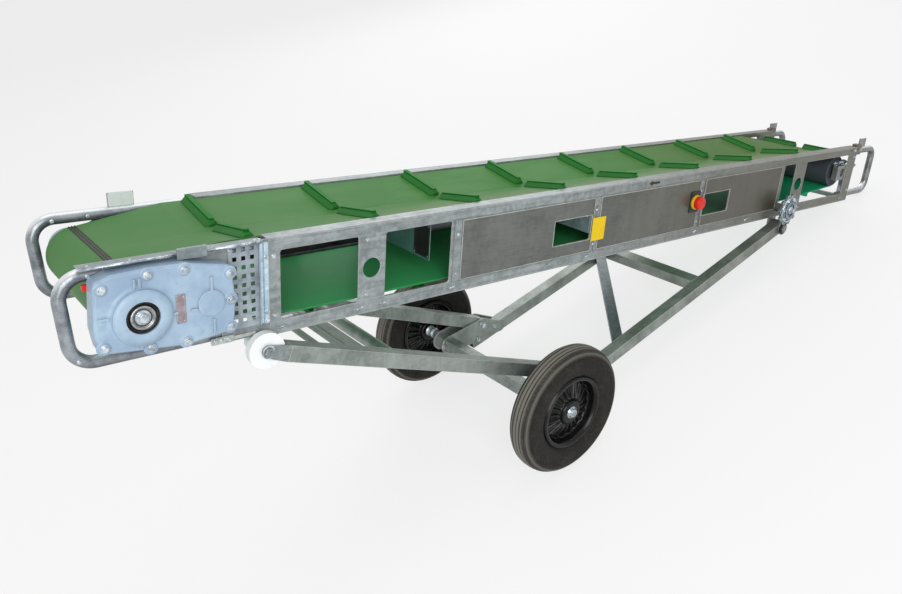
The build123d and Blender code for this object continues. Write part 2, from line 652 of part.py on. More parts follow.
# Take-ups: blocks that carry the tail drum's shaft, their screws and end plates
TAKE_UP_LENGTH = 80.0
TAKE_UP_HEIGHT = 60.0
TAKE_UP_DEPTH = 22.0
TAKE_UP_SCREW_RADIUS = 6.0
TAKE_UP_SCREW_RISE = 20.0
TAKE_UP_SCREW_PAST = 34.0
TAKE_UP_PLATE = 6.0
TAKE_UP_PLATE_LOW = 88.0
TAKE_UP_PLATE_HIGH = 176.0
with BuildPart() as take_ups:
    for side_name, side in SIDES:
        with BuildSketch(low_face(side, INNER - TAKE_UP_DEPTH, INNER)):
            with Locations((TAIL_DRUM_X, DRUM_AXIS_Z)):
                Rectangle(TAKE_UP_LENGTH, TAKE_UP_HEIGHT)
                Circle(DRUM_SHAFT_RADIUS + SHAFT_BORE_CLEARANCE, mode=Mode.SUBTRACT)
        extrude(amount=-TAKE_UP_DEPTH)
        screw_start = TAIL_DRUM_X + TAKE_UP_LENGTH / 2
        screw_y = side * (INNER - TAKE_UP_DEPTH / 2)
        with BuildSketch(Plane.YZ.offset(screw_start)):
            with Locations((screw_y, DRUM_AXIS_Z + TAKE_UP_SCREW_RISE)):
                Circle(TAKE_UP_SCREW_RADIUS)
        extrude(amount=FRAME_LENGTH + TAKE_UP_SCREW_PAST - screw_start)
        with BuildSketch(Plane.YZ.offset(FRAME_LENGTH)):
            with Locations((screw_y, (TAKE_UP_PLATE_LOW + TAKE_UP_PLATE_HIGH) / 2)):
                Rectangle(TAKE_UP_DEPTH, TAKE_UP_PLATE_HIGH - TAKE_UP_PLATE_LOW)
        extrude(amount=TAKE_UP_PLATE)
        with BuildSketch(Plane.YZ.offset(FRAME_LENGTH + TAKE_UP_PLATE)):
            with Locations((screw_y, DRUM_AXIS_Z + TAKE_UP_SCREW_RISE)):
                RegularPolygon(2 * TAKE_UP_SCREW_RADIUS, 6)
        extrude(amount=2 * TAKE_UP_SCREW_RADIUS)
keep(take_ups, "take_ups")

# Emergency stop on its yellow plate
STOP_X = 1552.0
STOP_Z = 124.0
STOP_PLATE_WIDTH = 50.0
STOP_PLATE_HEIGHT = 72.0
STOP_PLATE_DEPTH = 3.0
STOP_PLATE_CORNER = 5.0
STOP_BASE_RADIUS = 20.0
STOP_BASE_DEPTH = 14.0
STOP_CAP_RADIUS = 22.0
STOP_CAP_DEPTH = 16.0
STOP_PLATE_FACE = HALF_WIDTH + PANEL_SHEET + STOP_PLATE_DEPTH
with BuildPart() as stop_plate:
    with BuildSketch(upright(-STOP_PLATE_FACE)):
        with Locations((STOP_X, STOP_Z)):
            RectangleRounded(STOP_PLATE_WIDTH, STOP_PLATE_HEIGHT, STOP_PLATE_CORNER)
    extrude(amount=-STOP_PLATE_DEPTH)
keep(stop_plate, "stop_plate")
with BuildPart() as stop_button:
    with BuildSketch(upright(-(STOP_PLATE_FACE + STOP_BASE_DEPTH))):
        with Locations((STOP_X, STOP_Z)):
            Circle(STOP_BASE_RADIUS)
    extrude(amount=-STOP_BASE_DEPTH)
    with BuildSketch(upright(-(STOP_PLATE_FACE + STOP_BASE_DEPTH + STOP_CAP_DEPTH))):
        with Locations((STOP_X, STOP_Z)):
            Circle(STOP_CAP_RADIUS)
    extrude(amount=-STOP_CAP_DEPTH)
    fillet(stop_button.faces().sort_by(Axis.Y)[0].edges(), STOP_CAP_DEPTH / 2)
keep(stop_button, "stop_button")

# Bulkhead across the frame in the second window, its top edge under the folded bed
BULKHEAD_X = 470.0
BULKHEAD_LOW = 84.0
BULKHEAD_HALF = BED_HALF - BELT_SIDE_GAP
BULKHEAD_SHEET = 2.0
BED_UNDER = BED_TOP - BED_SHEET
with BuildPart() as bulkhead:
    with BuildSketch(Plane.YZ.offset(BULKHEAD_X)):
        with BuildLine():
            Polyline(
                (-BULKHEAD_HALF, BULKHEAD_LOW),
                (BULKHEAD_HALF, BULKHEAD_LOW),
                (BULKHEAD_HALF, BED_UNDER + TROUGH_RISE * BULKHEAD_HALF / HALF_BELT),
                (0, BED_UNDER),
                (-BULKHEAD_HALF, BED_UNDER + TROUGH_RISE * BULKHEAD_HALF / HALF_BELT),
                close=True,
            )
        make_face()
    extrude(amount=BULKHEAD_SHEET)
keep(bulkhead, "bulkhead")

# Lift pivots: plates on both sides of the arm's end, the pin through them and a boss on the web
PIVOT_PLATE = 6.0
PIVOT_PLATE_GAP = 1.0
PIVOT_PLATE_WIDTH = 48.0
PIVOT_PLATE_LOW = LIFT_PIVOT_Z - 22.0
PIVOT_BOSS_Z = 38.0
PIVOT_BOSS_RADIUS = 16.0
PIVOT_NUT = 12.0
PIVOT_NUT_RADIUS = 15.0
PIVOT_INNER = ARM_INNER - PIVOT_PLATE_GAP
PIVOT_OUTER = ARM_OUTER + PIVOT_PLATE_GAP
with BuildPart() as lift_pivots:
    for side_name, side in SIDES:
        with BuildSketch(low_face(side, PIVOT_INNER - PIVOT_PLATE, PIVOT_INNER)):
            with Locations((LIFT_PIVOT_X, PIVOT_PLATE_LOW / 2)):
                Rectangle(PIVOT_PLATE_WIDTH, -PIVOT_PLATE_LOW)
        extrude(amount=-PIVOT_PLATE)
        with BuildSketch(low_face(side, PIVOT_OUTER, PIVOT_OUTER + PIVOT_PLATE)):
            with Locations((LIFT_PIVOT_X, LIFT_PIVOT_Z)):
                Circle(PIVOT_BOSS_RADIUS + PIVOT_PLATE)
            with Locations((LIFT_PIVOT_X, PIVOT_BOSS_Z)):
                Circle(PIVOT_BOSS_RADIUS + PIVOT_PLATE)
            make_hull()
        extrude(amount=-PIVOT_PLATE)
        with BuildSketch(low_face(side, HALF_WIDTH, PIVOT_OUTER)):
            with Locations((LIFT_PIVOT_X, PIVOT_BOSS_Z)):
                Circle(PIVOT_BOSS_RADIUS)
        extrude(amount=-(PIVOT_OUTER - HALF_WIDTH))
        pin_start = PIVOT_INNER - PIVOT_PLATE
        pin_end = PIVOT_OUTER + PIVOT_PLATE + PIVOT_NUT
        with BuildSketch(low_face(side, pin_start, pin_end)):
            with Locations((LIFT_PIVOT_X, LIFT_PIVOT_Z)):
                Circle(PIVOT_PIN_RADIUS)
        extrude(amount=-(pin_end - pin_start))
        with BuildSketch(low_face(side, PIVOT_OUTER + PIVOT_PLATE, pin_end - PIVOT_PLATE / 2)):
            with Locations((LIFT_PIVOT_X, LIFT_PIVOT_Z)):
                RegularPolygon(PIVOT_NUT_RADIUS, 6)
        extrude(amount=-(PIVOT_NUT - PIVOT_PLATE / 2))
keep(lift_pivots, "lift_pivots")

# Height winch on the near pivot: a toothed disc with a ring and a hub on its face
WINCH_RADIUS = 50.0
WINCH_TOOTH_RADIUS = 10.0
WINCH_TEETH = 10
WINCH_DEPTH = 10.0
WINCH_RING_RADIUS = 32.0
WINCH_RING_WIDTH = 8.0
WINCH_HUB_RADIUS = 12.0
WINCH_BACK = PIVOT_OUTER + PIVOT_PLATE
with BuildPart() as winch_gear:
    with BuildSketch(upright(-(WINCH_BACK + WINCH_DEPTH))):
        with Locations((LIFT_PIVOT_X, PIVOT_BOSS_Z)):
            Circle(WINCH_RADIUS)
            with PolarLocations(WINCH_RADIUS, WINCH_TEETH):
                Circle(WINCH_TOOTH_RADIUS)
    extrude(amount=-WINCH_DEPTH)
    with BuildSketch(upright(-(WINCH_BACK + WINCH_DEPTH + WINCH_RING_WIDTH))):
        with Locations((LIFT_PIVOT_X, PIVOT_BOSS_Z)):
            Circle(WINCH_RING_RADIUS)
            Circle(WINCH_RING_RADIUS - WINCH_RING_WIDTH, mode=Mode.SUBTRACT)
            Circle(WINCH_HUB_RADIUS)
    extrude(amount=-WINCH_RING_WIDTH)
keep(winch_gear, "winch_gear")

# Lift arms, from their feet at the axle up to the pivots
LIFT_ANGLE = degrees(atan2(LIFT_PIVOT_Z - ARM_FOOT_Z, LIFT_PIVOT_X - ARM_FOOT_X))
LIFT_LENGTH = hypot(LIFT_PIVOT_Z - ARM_FOOT_Z, LIFT_PIVOT_X - ARM_FOOT_X)
LIFT_END_MARGIN = 20.0


def along_lift(distance, y):
    """Point on the lift arm's axis at a distance from its foot."""
    angle = radians(LIFT_ANGLE)
    return ARM_FOOT_X + distance * cos(angle), y, ARM_FOOT_Z + distance * sin(angle)


def lift_plane(distance, y):
    """Plane square to the lift arm, its sketch X across the machine."""
    angle = radians(LIFT_ANGLE)
    return Plane(along_lift(distance, y), x_dir=(0, 1, 0), z_dir=(cos(angle), 0, sin(angle)))


for side_name, side in SIDES:
    with BuildPart() as lift_arm:
        with BuildSketch(lift_plane(0, side * ARM_MIDDLE)):
            Rectangle(ARM_SECTION, ARM_SECTION)
            Rectangle(ARM_SECTION - 2 * ARM_WALL, ARM_SECTION - 2 * ARM_WALL, mode=Mode.SUBTRACT)
        extrude(amount=LIFT_LENGTH + LIFT_END_MARGIN)
        with BuildSketch(low_face(side, ARM_INNER, ARM_OUTER)):
            with Locations((LIFT_PIVOT_X, LIFT_PIVOT_Z)):
                Circle(PIVOT_PIN_RADIUS + PIVOT_PLATE)
        extrude(amount=-ARM_SECTION)
        with BuildSketch(low_face(side, ARM_INNER, ARM_OUTER)):
            with Locations((LIFT_PIVOT_X, LIFT_PIVOT_Z)):
                Circle(PIVOT_PIN_RADIUS + PIN_CLEARANCE)
        extrude(amount=-ARM_SECTION, mode=Mode.SUBTRACT)
    keep(lift_arm, f"lift_arm_{side_name}")

# Cross bar between the lift arms, and the brace that runs up to its far end
LIFT_BAR_AT = 718.0
BRACE_FOOT_AT = 299.0
BRACE_SECTION = 36.0
with BuildPart() as lift_cross_bar:
    with BuildSketch(Plane(along_lift(LIFT_BAR_AT, -ARM_INNER), x_dir=lift_plane(0, 0).z_dir, z_dir=(0, 1, 0))):
        Rectangle(ARM_SECTION, ARM_SECTION)
        Rectangle(ARM_SECTION - 2 * ARM_WALL, ARM_SECTION - 2 * ARM_WALL, mode=Mode.SUBTRACT)
    extrude(amount=2 * ARM_INNER)
keep(lift_cross_bar, "lift_cross_bar")

brace_run = LIFT_BAR_AT - ARM_SECTION / 2 - BRACE_FOOT_AT
BRACE_SPREAD = BRACE_SECTION * hypot(brace_run, 2 * ARM_INNER) / (2 * ARM_INNER)
brace_top = LIFT_BAR_AT - ARM_SECTION / 2 - BRACE_SPREAD / 2
with BuildPart() as lift_brace:
    along = lift_plane(0, 0).z_dir
    arm_normal = (-along.Z, 0, along.X)
    with BuildSketch(Plane(along_lift(0, 0), x_dir=along, z_dir=arm_normal)):
        with BuildLine():
            Polyline(
                (BRACE_FOOT_AT - BRACE_SPREAD / 2, -ARM_INNER),
                (BRACE_FOOT_AT + BRACE_SPREAD / 2, -ARM_INNER),
                (brace_top + BRACE_SPREAD / 2, ARM_INNER),
                (brace_top - BRACE_SPREAD / 2, ARM_INNER),
                close=True,
            )
        make_face()
    extrude(amount=BRACE_SECTION / 2, both=True)
keep(lift_brace, "lift_brace")

# Knee plates: each pair holds the knee pin, the lift arm's foot and the axle beam
PLATE_LAP = 130.0
AXLE_BEAM_Z = AXLE_Z - AXLE_BEAM_DROP
AXLE_PLATE_RADIUS = 34.0
KNEE_PLATE_RADIUS = 24.0
LAP_RADIUS = 18.0
PLATE_INNER_FACES = (ARM_INNER - KNEE_PLATE, ARM_OUTER)
with BuildPart() as knee_plates:
    for side_name, side in SIDES:
        for inner in PLATE_INNER_FACES:
            with BuildSketch(low_face(side, inner, inner + KNEE_PLATE)):
                lap_end = along_lift(PLATE_LAP, 0)
                with Locations((AXLE_X, AXLE_BEAM_Z)):
                    Circle(AXLE_PLATE_RADIUS)
                with Locations((KNEE_X, KNEE_Z)):
                    Circle(KNEE_PLATE_RADIUS)
                with Locations((lap_end[0], lap_end[2])):
                    Circle(LAP_RADIUS)
                make_hull()
            extrude(amount=-KNEE_PLATE)
        with BuildSketch(low_face(side, ARM_INNER - KNEE_PLATE, ARM_OUTER + KNEE_PLATE)):
            with Locations((KNEE_X, KNEE_Z)):
                Circle(PIVOT_PIN_RADIUS)
        extrude(amount=-(ARM_SECTION + 2 * KNEE_PLATE))
        with BuildSketch(low_face(side, ARM_INNER - KNEE_PLATE, ARM_OUTER + KNEE_PLATE)):
            with Locations((AXLE_X, AXLE_BEAM_Z)):
                Rectangle(AXLE_BEAM, AXLE_BEAM)
        extrude(amount=-(ARM_SECTION + 2 * KNEE_PLATE), mode=Mode.SUBTRACT)
keep(knee_plates, "knee_plates")

# Axle beam with its stub axles
BEAM_PAST_PLATE = 6.0
AXLE_BEAM_END = ARM_OUTER + KNEE_PLATE + BEAM_PAST_PLATE
STUB_END = HALF_TRACK + TYRE_WIDTH / 2
with BuildPart() as axle_beam:
    with BuildSketch(upright(-AXLE_BEAM_END)):
        with Locations((AXLE_X, AXLE_BEAM_Z)):
            Rectangle(AXLE_BEAM, AXLE_BEAM)
    extrude(amount=-2 * AXLE_BEAM_END)
    with BuildSketch(upright(-STUB_END)):
        with Locations((AXLE_X, AXLE_Z)):
            Circle(STUB_RADIUS)
    extrude(amount=-2 * STUB_END)
keep(axle_beam, "axle_beam")

# Wheels: a dished rim with its hub, and the tyre round it
RIM_LIP = 12.0
RIM_DISC_HALF = 14.0
HUB_RADIUS = 28.0
TYRE_SHOULDER = 24.0
RIM_SECTION = (
    # radius, distance from the wheel's middle plane
    (STUB_RADIUS + PIN_CLEARANCE, -RIM_WIDTH / 2),
    (HUB_RADIUS, -RIM_WIDTH / 2),
    (HUB_RADIUS, -RIM_DISC_HALF),
    (RIM_RADIUS - RIM_LIP, -RIM_DISC_HALF),
    (RIM_RADIUS - RIM_LIP, -RIM_WIDTH / 2),
    (RIM_RADIUS, -RIM_WIDTH / 2),
    (RIM_RADIUS, RIM_WIDTH / 2),
    (RIM_RADIUS - RIM_LIP, RIM_WIDTH / 2),
    (RIM_RADIUS - RIM_LIP, RIM_DISC_HALF),
    (HUB_RADIUS, RIM_DISC_HALF),
    (HUB_RADIUS, RIM_WIDTH / 2),
    (STUB_RADIUS + PIN_CLEARANCE, RIM_WIDTH / 2),
)
for side_name, side in SIDES:
    wheel_plane = Plane((AXLE_X, side * HALF_TRACK, AXLE_Z), x_dir=(1, 0, 0), z_dir=(0, 0, 1))
    wheel_axis = Axis((AXLE_X, side * HALF_TRACK, AXLE_Z), (0, 1, 0))
    with BuildPart() as rim:
        with BuildSketch(wheel_plane):
            with BuildLine():
                Polyline(*RIM_SECTION, close=True)
            make_face()
        revolve(axis=wheel_axis)
    keep(rim, f"wheel_rim_{side_name}")
    with BuildPart() as tyre:
        with BuildSketch(low_face(1, side * HALF_TRACK - TYRE_WIDTH / 2, side * HALF_TRACK + TYRE_WIDTH / 2)):
            with Locations((AXLE_X, AXLE_Z)):
                Circle(WHEEL_RADIUS)
                Circle(RIM_RADIUS, mode=Mode.SUBTRACT)
        extrude(amount=-TYRE_WIDTH)
        shoulders = tyre.edges().filter_by(GeomType.CIRCLE).filter_by(lambda e: abs(e.radius - WHEEL_RADIUS) < 1)
        fillet(shoulders, TYRE_SHOULDER)
    keep(tyre, f"tyre_{side_name}")

# Roller arms, from the knee pins to the rollers under the rails
ROLLER_ARM_ANGLE = degrees(atan2(ROLLER_Z - KNEE_Z, KNEE_X - ROLLER_X))
ROLLER_ARM_LENGTH = hypot(ROLLER_Z - KNEE_Z, KNEE_X - ROLLER_X)
ROLLER_ARM_TIP = 56.0
ROLLER_ARM_INNER = ARM_INNER + KNEE_PLATE_GAP
ROLLER_ARM_OUTER = ARM_OUTER - KNEE_PLATE_GAP
ROLLER_ARM_WIDTH = ROLLER_ARM_OUTER - ROLLER_ARM_INNER


def along_roller_arm(distance, y, raised=0.0):
    """Point on the roller arm's axis at a distance from the knee pin."""
    angle = radians(ROLLER_ARM_ANGLE)
    return (
        KNEE_X - distance * cos(angle) + raised * sin(angle),
        y,
        KNEE_Z + distance * sin(angle) + raised * cos(angle),
    )


def roller_arm_plane(distance, y):
    """Plane square to the roller arm, its sketch X across the machine."""
    angle = radians(ROLLER_ARM_ANGLE)
    return Plane(along_roller_arm(distance, y), x_dir=(0, 1, 0), z_dir=(-cos(angle), 0, sin(angle)))


for side_name, side in SIDES:
    with BuildPart() as roller_arm:
        with BuildSketch(roller_arm_plane(0.0, side * ARM_MIDDLE)):
            Rectangle(ROLLER_ARM_WIDTH, ARM_SECTION)
            Rectangle(ROLLER_ARM_WIDTH - 2 * ARM_WALL, ARM_SECTION - 2 * ARM_WALL, mode=Mode.SUBTRACT)
        extrude(amount=ROLLER_ARM_LENGTH - ROLLER_ARM_TIP)
        with BuildSketch(low_face(side, ROLLER_ARM_INNER, ROLLER_ARM_OUTER)):
            with Locations((KNEE_X, KNEE_Z)):
                Circle(ARM_SECTION / 2)
        extrude(amount=-ROLLER_ARM_WIDTH)
        with BuildSketch(low_face(side, ROLLER_ARM_INNER, ROLLER_ARM_OUTER)):
            with Locations((KNEE_X, KNEE_Z)):
                Circle(PIVOT_PIN_RADIUS + PIN_CLEARANCE)
        extrude(amount=-ROLLER_ARM_WIDTH, mode=Mode.SUBTRACT)
    keep(roller_arm, f"roller_arm_{side_name}")

# Roller forks: the end cap of each roller arm, the tapered plate and the roller's bolt
FORK_SHEET = 5.0
FORK_EYE_RADIUS = 15.0
FORK_CORNER = 4.0
CAP_SHEET = 5.0
BOLT_PAST_FORK = 8.0
BOLT_HEAD_RADIUS = 12.0
TREAD_INNER = HALF_WIDTH - ROLLER_TREAD_INSET
DISC_INNER = HALF_WIDTH + GUIDE_DISC_GAP
DISC_OUTER = DISC_INNER + GUIDE_DISC_DEPTH
FORK_OUTER = ROLLER_ARM_OUTER
FORK_INNER = FORK_OUTER - FORK_SHEET
with BuildPart() as roller_forks:
    for side_name, side in SIDES:
        cap_at = ROLLER_ARM_LENGTH - ROLLER_ARM_TIP
        with BuildSketch(roller_arm_plane(cap_at, side * ARM_MIDDLE)):
            Rectangle(ROLLER_ARM_WIDTH, ARM_SECTION)
        extrude(amount=CAP_SHEET)
        with BuildSketch(low_face(side, FORK_INNER, FORK_OUTER)):
            with Locations((ROLLER_X, ROLLER_Z)):
                Circle(FORK_EYE_RADIUS)
            for corner_rise in (FORK_CORNER - ARM_SECTION / 2, ARM_SECTION / 2 - FORK_CORNER):
                corner = along_roller_arm(cap_at + FORK_CORNER, 0, corner_rise)
                with Locations((corner[0], corner[2])):
                    Circle(FORK_CORNER)
            make_hull()
        extrude(amount=-FORK_SHEET)
        with BuildSketch(low_face(side, TREAD_INNER - FORK_SHEET, FORK_OUTER + BOLT_PAST_FORK)):
            with Locations((ROLLER_X, ROLLER_Z)):
                Circle(ROLLER_BOLT_RADIUS)
        extrude(amount=-(FORK_OUTER + BOLT_PAST_FORK - TREAD_INNER + FORK_SHEET))
        with BuildSketch(low_face(side, FORK_OUTER, FORK_OUTER + BOLT_PAST_FORK)):
            with Locations((ROLLER_X, ROLLER_Z)):
                RegularPolygon(BOLT_HEAD_RADIUS, 6)
        extrude(amount=-BOLT_PAST_FORK)
keep(roller_forks, "roller_forks")

for side_name, side in SIDES:
    with BuildPart() as rail_roller:
        with BuildSketch(low_face(side, TREAD_INNER, DISC_OUTER)):
            with Locations((ROLLER_X, ROLLER_Z)):
                Circle(ROLLER_RADIUS)
        extrude(amount=-(DISC_OUTER - TREAD_INNER))
        with BuildSketch(low_face(side, DISC_INNER, DISC_OUTER)):
            with Locations((ROLLER_X, ROLLER_Z)):
                Circle(GUIDE_DISC_RADIUS)
        extrude(amount=-GUIDE_DISC_DEPTH)
        with BuildSketch(low_face(side, TREAD_INNER, DISC_OUTER)):
            with Locations((ROLLER_X, ROLLER_Z)):
                Circle(ROLLER_BOLT_RADIUS + PIN_CLEARANCE)
        extrude(amount=-(DISC_OUTER - TREAD_INNER), mode=Mode.SUBTRACT)
    keep(rail_roller, f"rail_roller_{side_name}")

# Members between the roller arms: a round tube, and flat bars with a plate nearer the rollers
ROLLER_TUBE_AT = 714.0
ROLLER_TUBE_RADIUS = 17.0
ROLLER_TUBE_WALL = 3.0
FLAT_BARS = (
    # distance from the knee pin, length along the arm, thickness
    (797.0, 56.0, 5.0),
    (846.0, 22.0, 8.0),
    (919.0, 22.0, 8.0),
)
across_plane = Plane(along_roller_arm(0, -ROLLER_ARM_INNER), x_dir=roller_arm_plane(0, 0).z_dir, z_dir=(0, -1, 0))
with BuildPart() as roller_cross_tube:
    with BuildSketch(across_plane):
        with Locations((ROLLER_TUBE_AT, 0)):
            Circle(ROLLER_TUBE_RADIUS)
            Circle(ROLLER_TUBE_RADIUS - ROLLER_TUBE_WALL, mode=Mode.SUBTRACT)
    extrude(amount=-2 * ROLLER_ARM_INNER)
keep(roller_cross_tube, "roller_cross_tube")

with BuildPart() as roller_cross_bars:
    with BuildSketch(across_plane):
        for distance, length, thickness in FLAT_BARS:
            with Locations((distance, 0)):
                Rectangle(length, thickness)
    extrude(amount=-2 * ROLLER_ARM_INNER)
keep(roller_cross_bars, "roller_cross_bars")

# Parked stance: tipped until the wheels and the longer tail loop touch the same floor
BEND_CENTRE_X = TAIL_LOOP_TIPS_X["near"] - TAIL_LOOP_BEND
BEND_CENTRE_Z = LOOP_LOW + TAIL_LOOP_BEND
BEND_OUTER = TAIL_LOOP_BEND + TUBE_RADIUS
reach = hypot(BEND_CENTRE_X - AXLE_X, BEND_CENTRE_Z - AXLE_Z)
rise = atan2(BEND_CENTRE_Z - AXLE_Z, BEND_CENTRE_X - AXLE_X)
PARKED_TILT = degrees(acos((BEND_OUTER - WHEEL_RADIUS) / reach)) - 90.0 + degrees(rise)
print(f"parked tilt {PARKED_TILT:.3f} degrees, tail down")

tip = Rot(0, PARKED_TILT, 0)
extent = Compound([tip * piece for piece in pieces]).bounding_box()
print("overall", extent.size)
shift = Pos(-extent.center().X, -extent.center().Y, -extent.min.Z)
print("shift", -extent.center().X, -extent.center().Y, -extent.min.Z)
parked = shift * tip

os.makedirs("parts", exist_ok=True)
for piece in pieces:
    label = piece.label
    placed = parked * piece
    placed.label = label
    export_step(placed, f"parts/{label}.step")
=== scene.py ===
"""Dress a portable belt conveyor: its finishes, its small fittings, the light and the camera."""
import logging
from collections.abc import Callable
from dataclasses import dataclass
from enum import Enum
from math import cos, pi, radians, sin

import bpy
import numpy as np
from mathutils import Matrix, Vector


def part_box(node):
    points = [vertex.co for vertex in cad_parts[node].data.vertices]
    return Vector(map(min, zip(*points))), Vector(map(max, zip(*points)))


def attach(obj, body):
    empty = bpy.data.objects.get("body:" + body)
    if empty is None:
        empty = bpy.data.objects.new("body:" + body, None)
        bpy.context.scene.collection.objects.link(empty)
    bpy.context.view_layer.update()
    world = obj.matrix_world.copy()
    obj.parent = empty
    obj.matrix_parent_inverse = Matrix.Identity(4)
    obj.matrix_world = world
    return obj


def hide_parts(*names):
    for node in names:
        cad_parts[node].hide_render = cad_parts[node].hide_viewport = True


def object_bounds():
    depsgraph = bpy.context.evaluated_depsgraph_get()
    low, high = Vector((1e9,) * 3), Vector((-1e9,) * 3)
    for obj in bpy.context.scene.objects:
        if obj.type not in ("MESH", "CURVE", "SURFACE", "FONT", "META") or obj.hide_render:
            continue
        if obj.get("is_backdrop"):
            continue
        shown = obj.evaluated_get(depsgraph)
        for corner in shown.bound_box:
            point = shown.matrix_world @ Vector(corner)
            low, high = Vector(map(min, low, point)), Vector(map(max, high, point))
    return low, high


LOG = logging.getLogger("belt_conveyor")
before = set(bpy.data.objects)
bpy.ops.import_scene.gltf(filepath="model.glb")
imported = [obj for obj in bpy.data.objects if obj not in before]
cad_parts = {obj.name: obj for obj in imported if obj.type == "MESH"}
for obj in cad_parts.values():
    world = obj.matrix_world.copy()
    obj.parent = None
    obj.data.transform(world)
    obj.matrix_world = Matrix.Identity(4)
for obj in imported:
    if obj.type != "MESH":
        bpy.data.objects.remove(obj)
MM = 0.001
TURN = 2.0 * pi
WHITE = (1.0, 1.0, 1.0, 1.0)
Card = tuple[int, int, int]
Place = tuple[float, float, float]
Socket = bpy.types.NodeSocket


def linear(card: Card) -> tuple[float, float, float, float]:
    """Turn a colour as it is seen on a card into the linear colour that light adds up in.

    Args:
        card: red, green and blue from 0 to 255.

    Returns:
        The linear colour from 0 to 1, and full cover.
    """
    shares = np.array(card) / 255.0
    curve = np.where(shares <= 0.04045, shares / 12.92, ((shares + 0.055) / 1.055) ** 2.4)
    return (*(float(share) for share in curve), 1.0)


class Side(Enum):
    """The two sides of the belt, with the sign of their Y."""

    NEAR = -1
    FAR = 1

    @property
    def word(self) -> str:
        """The side's name in the names of the pieces."""
        return self.name.lower()


class Axis(Enum):
    """The direction in which the head of a fastener points, in the conveyor's own axes."""

    TO_NEAR = (0.0, -1.0, 0.0)
    TO_FAR = (0.0, 1.0, 0.0)
    UP = (0.0, 0.0, 1.0)
    TO_TAIL = (1.0, 0.0, 0.0)
    TO_HEAD = (-1.0, 0.0, 0.0)


@dataclass(frozen=True)
class ConveyorAxes:
    """The belt's own axes, in mm: X from the drive end, Y across, Z up from the frame's underside."""

    tilt: float = radians(17.572)
    shift: Place = (-1195.5755, 0.0, 837.8787)

    def matrix(self) -> np.ndarray:
        """The turn from the belt's own axes to the world's."""
        along, up = cos(self.tilt), sin(self.tilt)
        return np.array([[along, 0.0, up], [0.0, 1.0, 0.0], [-up, 0.0, along]])

    def place(self, points: np.ndarray) -> np.ndarray:
        """Put points that are drawn along the belt in the world.

        Args:
            points: places in mm in the belt's own axes, in rows of three.

        Returns:
            The same places in metres in the world: turned by the tilt about Y, then shifted.
        """
        return (np.asarray(points, float) @ self.matrix().T + np.array(self.shift)) * MM


BELT_AXES = ConveyorAxes()


def operator(operation: str, swapped: bool = False) -> Callable[..., "Value"]:
    """Make one operator of Value.

    Args:
        operation: what the Math node does.
        swapped: whether the other number comes first.

    Returns:
        The method, which adds a Math node for the value and the other number.
    """

    def method(self: "Value", other: "Number" = 0.0) -> "Value":
        """Add the Math node."""
        first, second = (other, self) if swapped else (self, other)
        return self.graph.value("ShaderNodeMath", {0: first, 1: second}, operation=operation)

    return method


@dataclass
class Value:
    """A number that changes over a surface. Sums and products of values add their Math nodes."""

    graph: "Graph"
    socket: Socket

    __add__ = operator("ADD")
    __radd__ = operator("ADD", swapped=True)
    __sub__ = operator("SUBTRACT")
    __rsub__ = operator("SUBTRACT", swapped=True)
    __mul__ = operator("MULTIPLY")
    __pow__ = operator("POWER")
    __abs__ = operator("ABSOLUTE")
    sine = operator("SINE")
    most = operator("MAXIMUM")
    least = operator("MINIMUM")

    def between(self, low: float, high: float) -> "Value":
        """Go smoothly from zero at the low end to one at the high end."""
        sockets = {"Value": self, "From Min": low, "From Max": high}
        return self.graph.value("ShaderNodeMapRange", sockets, interpolation_type="SMOOTHSTEP")


Number = Value | float


